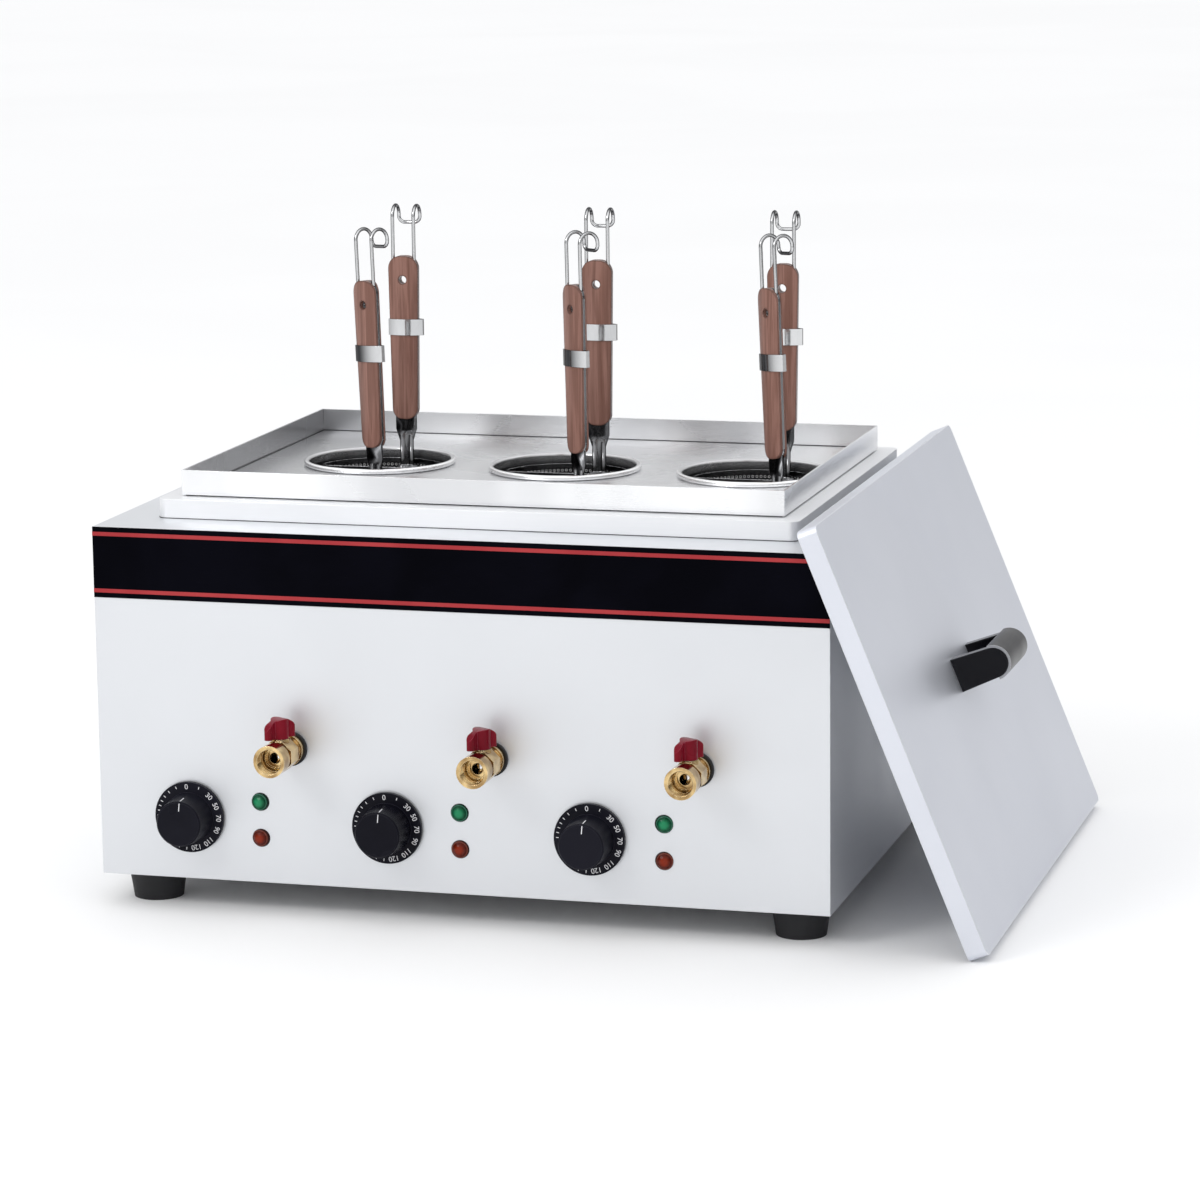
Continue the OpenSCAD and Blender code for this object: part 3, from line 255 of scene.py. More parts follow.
@dataclass(frozen=True)
class Finish:
    """What every finish has: two tints that a pattern mixes, a range of gloss, and softened edges with
    painted edge light: a painted highlight where the edge tint is lighter, painted shade where it is darker.
    """

    name: str
    slot: str
    tint: Colour
    second: Colour
    gloss: Span
    metallic: float = 0.0
    specular: float = 0.5
    coat: float = 0.0
    coat_roughness: float = 0.08
    edge_radius: float = 0.5 * MM
    # Tint mixed in along the edges: painted highlight when lighter than the surface, painted shade when
    # darker.
    edge_painted_light: Colour | None = None
    relief: float = 0.1
    smudge_scale: float = 14.0
    speckle_scale: float = 2600.0

    def material(self) -> bpy.types.Material:
        """Builds the finish's material the first time it is asked for.

        Returns:
            The material.
        """
        title = f"{self.name}_finish"
        made = bpy.data.materials.get(title)
        if made:
            return made
        made = bpy.data.materials.new(title)
        made.use_nodes = True
        graph = Graph(made.node_tree)
        shader = made.node_tree.nodes["Principled BSDF"]
        shader.inputs["Metallic"].default_value = self.metallic
        shader.inputs["Specular IOR Level"].default_value = self.specular
        shader.inputs["Coat Weight"].default_value = self.coat
        shader.inputs["Coat Roughness"].default_value = self.coat_roughness
        colour, gloss, height = self.pattern(graph)
        edges = graph.effect(Effect.WORN, Radius=self.edge_radius)
        # Paints light or shade along the edges: a painted highlight line where the edge tint is lighter.
        if self.edge_painted_light:
            colour = graph.mixed(edges.outputs["Edge"], colour, self.edge_painted_light)
        bump = graph.add("ShaderNodeBump", {"Strength": self.relief, "Distance": MM, "Height": height,
                                            "Normal": edges.outputs["Normal"]})
        links = made.node_tree.links
        links.new(colour, shader.inputs["Base Color"])
        links.new(graph.ranged(gloss, FULL, self.gloss), shader.inputs["Roughness"])
        links.new(bump.outputs[0], shader.inputs["Normal"])
        self.extra(graph, shader)
        return made

    def pattern(self, graph: Graph) -> tuple[bpy.types.NodeSocket, ...]:
        """Gives the colour, the gloss mask and the relief; plain finishes are softly smudged and speckled.

        Args:
            graph: The material's nodes.

        Returns:
            Colour, mask from glossy to dull, and height.
        """
        smudge = graph.effect(Effect.SMUDGED, Scale=self.smudge_scale).outputs[0]
        speckle = graph.effect(Effect.SPECKLED, Scale=self.speckle_scale).outputs[0]
        return graph.mixed(smudge, self.tint, self.second), smudge, speckle

    def extra(self, graph: Graph, shader: bpy.types.Node) -> None:
        """Adds what only one kind of finish has; most have nothing."""


@dataclass(frozen=True)
class SteelFinish(Finish):
    """Steel or brass with brushed streaks along one direction."""

    metallic: float = 1.0
    stretch: Point = (30.0, 2400.0, 2400.0)
    broad: Point = (6.0, 6.0, 6.0)
    streak_share: float = 0.5
    smudge_scale: float = 9.0
    dull_share: float = 0.5

    def pattern(self, graph: Graph) -> tuple[bpy.types.NodeSocket, ...]:
        """Mixes the tints by fine streaks over broad tones.

        Args:
            graph: The material's nodes.

        Returns:
            Colour, mask from glossy to dull, and height.
        """
        brushed = graph.effect(Effect.BRUSHED, Stretch=self.stretch, Broad=self.broad)
        streak, tone = brushed.outputs["Streak"], brushed.outputs["Tone"]
        share = graph.add("ShaderNodeMix", {0: self.streak_share, 2: tone, 3: streak}).outputs[0]
        smudge = graph.effect(Effect.SMUDGED, Scale=self.smudge_scale).outputs[0]
        dull = graph.add("ShaderNodeMix", {0: self.dull_share, 2: streak, 3: smudge}).outputs[0]
        return graph.mixed(share, self.tint, self.second), dull, streak


@dataclass(frozen=True)
class WireFinish(SteelFinish):
    """Bright steel with painted shade towards its outline, standing in for the dark reflections that polished
    steel shows in a white room.
    """

    # Dark colour mixed in at the outline: painted shade.
    outline: Colour = (0.02, 0.02, 0.023)
    turning: Span = (0.06, 0.5)
    facing_blend: float = 0.5

    def pattern(self, graph: Graph) -> tuple[bpy.types.NodeSocket, ...]:
        """Mixes in painted shade at the outline, where the surface turns away from the eye.

        Args:
            graph: The material's nodes.

        Returns:
            Colour, mask from glossy to dull, and height.
        """
        colour, dull, height = super().pattern(graph)
        turned = graph.add("ShaderNodeLayerWeight", {"Blend": self.facing_blend}).outputs["Facing"]
        return graph.mixed(graph.ranged(turned, self.turning, FULL), colour, self.outline), dull, height


@dataclass(frozen=True)
class TrayFinish(SteelFinish):
    """Brushed steel with painted shade towards the tray's left end, behind its front wall."""

    # Colour of the painted shade.
    shade: Colour = (0.34, 0.343, 0.355)
    painted_shade_run: float = 230.0 * MM
    painted_shade_share: float = 0.62
    wall_start: float = 2.0 * MM
    wall_run: float = 30.0 * MM

    def pattern(self, graph: Graph) -> tuple[bpy.types.NodeSocket, ...]:
        """Mixes in the painted shade from the left end on.

        Args:
            graph: The material's nodes.

        Returns:
            Colour, mask from glossy to dull, and height.
        """
        colour, dull, height = super().pattern(graph)
        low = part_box("tray")[0]
        parts = graph.add("ShaderNodeSeparateXYZ", {0: graph.objects_own()}).outputs
        # Mask of the painted shade: strongest at the left end, none against the front wall.
        left = graph.ranged(parts["X"], (low.x, low.x + self.painted_shade_run), (self.painted_shade_share, 0.0))
        behind = graph.ranged(parts["Y"], (low.y + self.wall_start, low.y + self.wall_run), FULL)
        share = graph.add("ShaderNodeMath", {0: left, 1: behind}, operation="MULTIPLY").outputs[0]
        return graph.mixed(share, colour, self.shade), dull, height


@dataclass(frozen=True)
class TankFinish(SteelFinish):
    """Drawn steel with a painted highlight on the rolled rim and painted shade inside; the row of tanks
    shares it.
    """

    rim_painted_light: Colour = (0.95, 0.95, 0.96)
    rim_start: float = 1.0 * MM
    lip_painted_light: Colour = (0.62, 0.62, 0.63)
    lip_depths: Span = (9.0 * MM, 3.0 * MM)

    def pattern(self, graph: Graph) -> tuple[bpy.types.NodeSocket, ...]:
        """Mixes in painted light near the top and a painted highlight on the rim outside the wall.

        Args:
            graph: The material's nodes.

        Returns:
            Colour, mask from glossy to dull, and height.
        """
        colour, dull, height = super().pattern(graph)
        first, middle, last = (sum(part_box(f"tank_{k}"), Vector()) / 2 for k in ROW)
        low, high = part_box("tank_2")
        outside = (high.x - low.x) / 2
        level = graph.add("ShaderNodeSeparateXYZ", {0: graph.objects_own()}).outputs["Z"]
        # Painted light near the top of the tank, then a painted highlight on the rim outside the wall.
        near_top = graph.ranged(level, tuple(high.z - depth for depth in self.lip_depths), FULL)
        colour = graph.mixed(near_top, colour, self.lip_painted_light)
        away = graph.from_row(middle, (last.x - first.x) / 4, "Y")
        share = graph.ranged(away, (outside - 2 * self.rim_start, outside - self.rim_start), FULL)
        return graph.mixed(share, colour, self.rim_painted_light), dull, height


@dataclass(frozen=True)
class WoodFinish(Finish):
    """Oiled hardwood with its grain up the grip."""

    dark: Colour = (0.15, 0.06, 0.04)
    band_scale: Point = (150.0, 150.0, 7.0)
    band_span: Span = (0.36, 0.64)
    pore_scale: Point = (1900.0, 1900.0, 45.0)
    pore_span: Span = (0.56, 0.72)
    pore_share: float = 0.75

    def pattern(self, graph: Graph) -> tuple[bpy.types.NodeSocket, ...]:
        """Mixes broad growth bands with fine dark pores, both drawn out along Z.

        Args:
            graph: The material's nodes.

        Returns:
            Colour, mask from glossy to dull, and height.
        """
        place = graph.objects_own()
        along = graph.add("ShaderNodeMapping", {"Vector": place, "Scale": self.band_scale})
        bands = graph.add("ShaderNodeTexNoise", {"Vector": along.outputs[0], "Scale": 1.0, "Detail": 4.0,
                                                 "Distortion": 1.1})
        fine = graph.add("ShaderNodeMapping", {"Vector": place, "Scale": self.pore_scale})
        pores = graph.add("ShaderNodeTexNoise", {"Vector": fine.outputs[0], "Scale": 1.0, "Detail": 3.0})
        pore = graph.ranged(pores.outputs[0], self.pore_span, (0.0, self.pore_share))
        colour = graph.mixed(graph.ranged(bands.outputs[0], self.band_span, FULL), self.tint, self.second)
        return graph.mixed(pore, colour, self.dark), bands.outputs[0], pores.outputs[0]


@dataclass(frozen=True)
class LensFinish(Finish):
    """Coloured pilot lamp of one plastic: painted light in the lens's middle, painted shade towards its edge
    and on the rim, and a pale ring of painted reflection; one row shares it.
    """

    row: str = "green_lamps"
    # Painted glow in the middle, a ring of painted reflection and painted shade on the rim.
    glow: Colour = (0.0, 0.1, 0.05)
    ring_tint: Colour = (0.1, 0.2, 0.16)
    rim_painted_light: Colour = (0.01, 0.03, 0.02)
    lens_radius: float = 6.0 * MM
    lens_span: Span = (0.3, 0.95)
    ring_reflection_span: Span = (0.96, 1.0)
    rim_shade_span: Span = (1.08, 1.14)
    glow_span: Span = (0.0, 0.8)
    smudge_scale: float = 60.0
    speckle_scale: float = 420.0

    def rings(self, graph: Graph) -> bpy.types.NodeSocket:
        """Gives the distance from the nearest lamp's axis, as a share of the lens's radius.

        Args:
            graph: The material's nodes.

        Returns:
            0 on the axis, 1 at the lens's edge.
        """
        low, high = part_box(self.row)
        half = (high.x - low.x - (high.z - low.z)) / 4
        away = graph.from_row((low + high) / 2, half, "Z")
        return graph.add("ShaderNodeMath", {0: away, 1: self.lens_radius}, operation="DIVIDE").outputs[0]

    def pattern(self, graph: Graph) -> tuple[bpy.types.NodeSocket, ...]:
        """Mixes the painted light and shade from the lens's middle out to the rim.

        Args:
            graph: The material's nodes.

        Returns:
            Colour, mask from glossy to dull, and height.
        """
        away = self.rings(graph)
        # Lens tint bright in the middle and darker at its edge: painted light and shade.
        colour = graph.mixed(graph.ranged(away, self.lens_span, FULL), self.tint, self.second)
        colour = graph.mixed(graph.ranged(away, self.ring_reflection_span, FULL), colour, self.ring_tint)
        colour = graph.mixed(graph.ranged(away, self.rim_shade_span, FULL), colour, self.rim_painted_light)
        smudge = graph.effect(Effect.SMUDGED, Scale=self.smudge_scale).outputs[0]
        facets = graph.effect(Effect.SPECKLED, Scale=self.speckle_scale).outputs[0]
        return colour, smudge, facets

    def extra(self, graph: Graph, shader: bpy.types.Node) -> None:
        """Paints a faint glow into the lens's middle: painted light, the lamp is not lit."""
        share = graph.ranged(self.rings(graph), self.glow_span, (1.0, 0.0))
        graph.tree.links.new(graph.mixed(share, (0.0, 0.0, 0.0), self.glow), shader.inputs["Emission Color"])
        shader.inputs["Emission Strength"].default_value = 1.0


# Light edge tints below are painted highlights along the edges; the wood's dark edge tint is painted shade.
SATIN_STEEL = SteelFinish(
    "satin_pale_steel", "satin_steel", (0.72, 0.735, 0.76), (0.76, 0.775, 0.80), (0.42, 0.5), metallic=0.85,
    relief=0.01, edge_painted_light=(0.93, 0.94, 0.95), edge_radius=0.9 * MM)
DECK_STEEL = SteelFinish(
    "deck_steel", "satin_steel", (0.80, 0.81, 0.83), (0.9, 0.905, 0.92), (0.3, 0.42), metallic=0.42,
    relief=0.02, edge_painted_light=(0.97, 0.97, 0.98), edge_radius=1.2 * MM)
LID_STEEL = SteelFinish(
    "lid_pale_steel", "satin_steel", (0.715, 0.735, 0.795), (0.765, 0.785, 0.845), (0.42, 0.5),
    metallic=0.85, relief=0.01, edge_painted_light=(0.93, 0.94, 0.96), edge_radius=1.4 * MM)
TRAY_STEEL = TrayFinish(
    "tray_brushed_steel", "brushed_steel", (0.65, 0.655, 0.67), (0.96, 0.965, 0.975), (0.22, 0.34),
    relief=0.05, edge_painted_light=(0.98, 0.98, 0.99), broad=(11.0, 2.0, 1.0), streak_share=0.22)
# Near-black strips that stand in for the shade at the tray's fold and the deck's foot: painted shade.
FOLD_SHADE = SteelFinish(
    "fold_line_steel", "brushed_steel", (0.02, 0.02, 0.022), (0.09, 0.09, 0.095), (0.35, 0.5), metallic=0.8,
    relief=0.05, edge_radius=0.1 * MM)
BASE_STEEL = SteelFinish(
    "base_steel", "brushed_steel", (0.5, 0.505, 0.52), (0.66, 0.665, 0.68), (0.35, 0.5), relief=0.05)
# Dark tints: painted shade inside the deep tanks; the rim's bright tint is painted highlight.
TANK_STEEL = TankFinish(
    "drawn_tank_steel", "bright_steel", (0.06, 0.061, 0.064), (0.18, 0.182, 0.188), (0.16, 0.3),
    metallic=0.85, stretch=(160.0, 160.0, 900.0), relief=0.03)
BRIGHT_STEEL = SteelFinish(
    "bright_steel", "bright_steel", (0.68, 0.685, 0.695), (0.82, 0.825, 0.83), (0.12, 0.28),
    stretch=(500.0, 500.0, 60.0), relief=0.02)
# Dark tints: painted shade of the strainers in the deep wells; the light edge tint is painted highlight.
STRAINER_STEEL = WireFinish(
    "strainer_steel", "strainer_steel", (0.13, 0.131, 0.137), (0.34, 0.343, 0.35), (0.14, 0.28),
    stretch=(300.0, 300.0, 40.0), relief=0.02, edge_radius=0.4 * MM, edge_painted_light=(0.85, 0.85, 0.87))
# Near-black wall between the holes: painted shade of the deep wells.
PIERCED_WALL_SHADE = SteelFinish(
    "pierced_wall_steel", "strainer_steel", (0.012, 0.012, 0.014), (0.04, 0.04, 0.043), (0.25, 0.4),
    stretch=(300.0, 300.0, 300.0), relief=0.02, edge_radius=0.05 * MM)
# White hole sides: painted glints, the bright dots on the dark wall.
PIERCED_EDGE_GLINT = SteelFinish(
    "pierced_edge_steel", "strainer_steel", (0.3, 0.3, 0.305), (1.0, 1.0, 1.0), (0.3, 0.5), metallic=0.0,
    stretch=(420.0, 420.0, 420.0), relief=0.02, edge_radius=0.05 * MM, streak_share=0.9)
HOOK_STEEL = WireFinish(
    "hook_wire", "hook_wire", (0.5, 0.505, 0.515), (0.8, 0.805, 0.81), (0.1, 0.2),
    stretch=(400.0, 400.0, 120.0), relief=0.02, edge_radius=0.3 * MM)
STRAP_STEEL = WireFinish(
    "handle_strap_steel", "brushed_steel", (0.33, 0.33, 0.342), (0.47, 0.47, 0.485), (0.28, 0.4),
    stretch=(1600.0, 40.0, 1600.0), relief=0.05, turning=(0.25, 0.8), edge_painted_light=(0.8, 0.8, 0.82))
HEATER_STEEL = SteelFinish(
    "heater_tube", "heater_tube", (0.07, 0.065, 0.065), (0.16, 0.15, 0.15), (0.35, 0.55), metallic=0.8,
    stretch=(220.0, 220.0, 220.0), relief=0.1)
# Dark and bright tints, spread by the streak and tone noise, stand in for the brass's dark and bright
# reflections: painted reflection.
BRASS = SteelFinish(
    "polished_brass", "brass", (0.24, 0.13, 0.045), (0.86, 0.64, 0.32), (0.08, 0.2),
    stretch=(240.0, 700.0, 240.0), broad=(90.0, 60.0, 90.0), relief=0.04, streak_share=0.3,
    edge_painted_light=(0.98, 0.84, 0.55), edge_radius=0.5 * MM)
CHROME = SteelFinish(
    "chromed_ball", "chromed_ball", (0.74, 0.74, 0.75), (0.84, 0.84, 0.85), (0.06, 0.16),
    stretch=(200.0, 200.0, 200.0), relief=0.01)
RED_ENAMEL = Finish(
    "red_lever_enamel", "red_lever", (0.16, 0.002, 0.011), (0.22, 0.004, 0.016), (0.22, 0.36),
    specular=0.12, edge_radius=0.6 * MM, edge_painted_light=(0.5, 0.1, 0.15), relief=0.05)
BLACK_FILM = Finish(
    "black_gloss_film", "black_band", (0.001, 0.001, 0.0025), (0.002, 0.002, 0.0045), (0.28, 0.4),
    specular=0.02, relief=0.01)
RED_LINE = Finish(
    "red_line_film", "red_line", (0.36, 0.032, 0.038), (0.42, 0.045, 0.05), (0.35, 0.5), specular=0.12,
    relief=0.02)
RUBBER = Finish(
    "black_rubber", "rubber", (0.012, 0.012, 0.014), (0.022, 0.022, 0.025), (0.5, 0.72), specular=0.35,
    edge_radius=0.8 * MM, edge_painted_light=(0.05, 0.05, 0.055), relief=0.25)
KNOB_PLASTIC = Finish(
    "knob_plastic", "black_plastic", (0.005, 0.005, 0.009), (0.01, 0.01, 0.016), (0.26, 0.42),
    specular=0.08, edge_radius=0.5 * MM, edge_painted_light=(0.05, 0.05, 0.068), relief=0.08)
HANDLE_PLASTIC = Finish(
    "handle_gloss_plastic", "black_plastic", (0.002, 0.002, 0.003), (0.005, 0.005, 0.007), (0.05, 0.12),
    specular=0.2, edge_radius=1.8 * MM, edge_painted_light=(0.05, 0.05, 0.055), relief=0.01)
CASE_PLASTIC = Finish(
    "thermostat_case", "moulded_case", (0.03, 0.03, 0.034), (0.05, 0.05, 0.055), (0.4, 0.6),
    edge_painted_light=(0.09, 0.09, 0.1), relief=0.2)
TERMINAL_PLASTIC = Finish(
    "terminal_plastic", "terminal_plastic", (0.64, 0.61, 0.52), (0.73, 0.7, 0.62), (0.4, 0.55),
    edge_painted_light=(0.8, 0.78, 0.7), relief=0.15)
DIAL_INK = Finish(
    "dial_ink", "black_plastic", (0.72, 0.72, 0.74), (0.84, 0.84, 0.86), (0.5, 0.65), relief=0.05,
    edge_radius=0.1 * MM)
# Tint and second tint: painted light in the lens's middle and painted shade at its edge.
GREEN_LENS = LensFinish(
    "green_lens", "green_lens", (0.018, 0.22, 0.095), (0.0, 0.05, 0.021), (0.1, 0.2), specular=0.16,
    row="green_lamps", glow=(0.003, 0.02, 0.01), ring_tint=(0.03, 0.13, 0.08), rim_painted_light=(0.0, 0.016, 0.008),
    relief=0.2)
AMBER_LENS = LensFinish(
    "amber_lens", "amber_lens", (0.20, 0.02, 0.006), (0.07, 0.006, 0.002), (0.1, 0.2), specular=0.16,
    row="amber_lamps", glow=(0.02, 0.002, 0.001), ring_tint=(0.16, 0.04, 0.026),
    rim_painted_light=(0.03, 0.004, 0.002), relief=0.2)
# Edge tint darker than the wood: painted shade on the grips' rounded edges.
WOOD = WoodFinish(
    "oiled_wood", "wood", (0.195, 0.091, 0.067), (0.31, 0.16, 0.125), (0.3, 0.5), coat=0.05, specular=0.3,
    edge_radius=2.0 * MM, edge_painted_light=(0.06, 0.024, 0.017), relief=0.12)


def in_row(stem: str) -> list[str]:
    """Gives the names of the three like nodes of a row."""
    return [f"{stem}_{k}" for k in ROW]


def paint(finish: Finish, *names: str) -> None:
    """Gives CAD nodes a finish.

    Args:
        finish: The finish.
        names: Names of the nodes.
    """
    material = finish.material()
    for name in names:
        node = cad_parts[name]
        if not node.material_slots:
            node.data.materials.append(material)
        for slot in node.material_slots:
            slot.material = material
        LOG.info("node %s is finished as %s", name, finish.name)


def settle(name: str, shape: bmesh.types.BMesh, finish: Finish, body: str, replaced: tuple[str, ...] = (),
           others: tuple[Finish, ...] = ()) -> None:
    """Makes a built shape a piece of the object.

    Args:
        name: Name of the piece.
        shape: The built shape, in the frame's metres; it is freed.
        finish: Its finish.
        body: The CAD body that it rides on.
        replaced: CAD nodes that it stands for.
        others: Finishes of the faces that have material number 1 and up.
    """
    mesh = bpy.data.meshes.new(name)
    shape.to_mesh(mesh)
    shape.free()
    mesh.polygons.foreach_set("use_smooth", [True] * len(mesh.polygons))
    mesh.set_sharp_from_angle(angle=SHARP_TURN)
    for used in (finish, *others):
        mesh.materials.append(used.material())
    piece = bpy.data.objects.new(name, mesh)
    bpy.context.scene.collection.objects.link(piece)
    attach(piece, body)
    if replaced:
        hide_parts(*replaced)
    LOG.info("piece %s rides on %s with %d faces", name, body, len(mesh.polygons))


def merge_in(shape: bmesh.types.BMesh, other: bmesh.types.BMesh, place: Matrix) -> None:
    """Adds one shape to another.

    Args:
        shape: The shape that grows.
        other: The shape that is added; it is freed.
        place: Where the added shape goes.
    """
    bmesh.ops.transform(other, matrix=place, verts=other.verts)
    mesh = bpy.data.meshes.new("passing")
    other.to_mesh(mesh)
    other.free()
    shape.from_mesh(mesh)
    bpy.data.meshes.remove(mesh)


def ring(profile: list[Span]) -> bmesh.types.BMesh:
    """Spins a closed section into a ring about Y.

    Args:
        profile: Section points as radius and place along Y.

    Returns:
        The ring, centred on the origin.
    """
    shape = bmesh.new()
    points = [shape.verts.new((radius, y, 0.0)) for radius, y in profile]
    edges = [shape.edges.new((a, b)) for a, b in zip(points, points[1:] + points[:1])]
    bmesh.ops.spin(shape, geom=points + edges, cent=(0, 0, 0), axis=(0, 1, 0), angle=math.tau,
                   steps=RING_STEPS, use_merge=True, use_duplicate=False)
    bmesh.ops.remove_doubles(shape, verts=shape.verts, dist=RING_WELD)
    bmesh.ops.recalc_face_normals(shape, faces=shape.faces)
    return shape


class Assembly:
    """A sub-assembly: its CAD nodes are finished, then its own pieces are built."""

    def dress(self) -> None:
        """Finishes the CAD nodes."""

    def build(self) -> None:
        """Builds the pieces that the CAD leaves to the scene; some have none."""


@dataclass
class Casing(Assembly):
    """Casing, its front band, feet and back cover."""

    shell: tuple[str, ...] = ("body_wrap", "front_panel", "top_plate", "back_cover")

    def dress(self) -> None:
        """Finishes the casing's nodes."""
        paint(SATIN_STEEL, *self.shell)
        paint(BASE_STEEL, "base_plate")
        paint(BLACK_FILM, "control_band")
        paint(RED_LINE, "band_stripes")
        paint(RUBBER, "feet")
        paint(BRIGHT_STEEL, "screws")
        paint(KNOB_PLASTIC, "cable_gland")
        paint(TERMINAL_PLASTIC, "terminal_block")


@dataclass
class TrayTop(Assembly):
    """Raised deck, seal, tray, tanks and what stands in the tanks."""

    tray_wall: float = 1.2 * MM
    deck_corner: float = 8.0 * MM
    line_width: float = 1.0 * MM
    line_rise: float = 0.5 * MM
    corner_steps: int = 6

    def outline(self, low: Vector, high: Vector, corner: float) -> bmesh.types.BMesh:
        """Makes a narrow raised line along the inside of a rectangle.

        Args:
            low: Lower corner of the rectangle, at the line's foot.
            high: Upper corner of the rectangle.
            corner: Radius of the rectangle's corners.

        Returns:
            The line.
        """
        shape = bmesh.new()
        bmesh.ops.create_grid(shape, x_segments=1, y_segments=1, size=0.5)
        bmesh.ops.scale(shape, vec=(high.x - low.x, high.y - low.y, 1.0), verts=shape.verts)
        if corner:
            bmesh.ops.bevel(shape, geom=shape.verts[:], offset=corner, offset_type="OFFSET",
                            segments=self.corner_steps, profile=ROUND_PROFILE, affect="VERTICES", material=-1)
        inside = shape.faces[:]
        bmesh.ops.inset_region(shape, faces=inside, thickness=self.line_width, use_even_offset=True,
                               use_boundary=True)
        bmesh.ops.delete(shape, geom=inside, context="FACES")
        bmesh.ops.solidify(shape, geom=shape.faces[:], thickness=-self.line_rise)
        bmesh.ops.recalc_face_normals(shape, faces=shape.faces)
        bmesh.ops.translate(shape, vec=((low.x + high.x) / 2, (low.y + high.y) / 2, low.z), verts=shape.verts)
        return shape

    def build(self) -> None:
        """Builds dark strips of painted shade: along the fold inside the tray's walls and round the deck's
        foot.
        """
        low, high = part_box("tray")
        inset = Vector((self.tray_wall, self.tray_wall, 0.0))
        level = Vector((0.0, 0.0, self.tray_wall))
        settle("tray_fold_shade_line", self.outline(low + inset + level, high - inset, 0.0), FOLD_SHADE, "cooker")
        low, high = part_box("deck")
        inset = Vector((self.line_rise, self.line_rise, 0.0))
        settle("deck_foot_shade_line", self.outline(low - inset, high + inset, self.deck_corner + self.line_rise),
               FOLD_SHADE, "cooker")

    def dress(self) -> None:
        """Finishes the nodes of the top."""
        paint(DECK_STEEL, "deck")
        paint(RUBBER, "tray_seal")
        paint(TRAY_STEEL, "tray")
        paint(TANK_STEEL, *in_row("tank"))
        paint(BRIGHT_STEEL, "rest_plates", "drain_pipes")
        paint(HEATER_STEEL, "heaters")


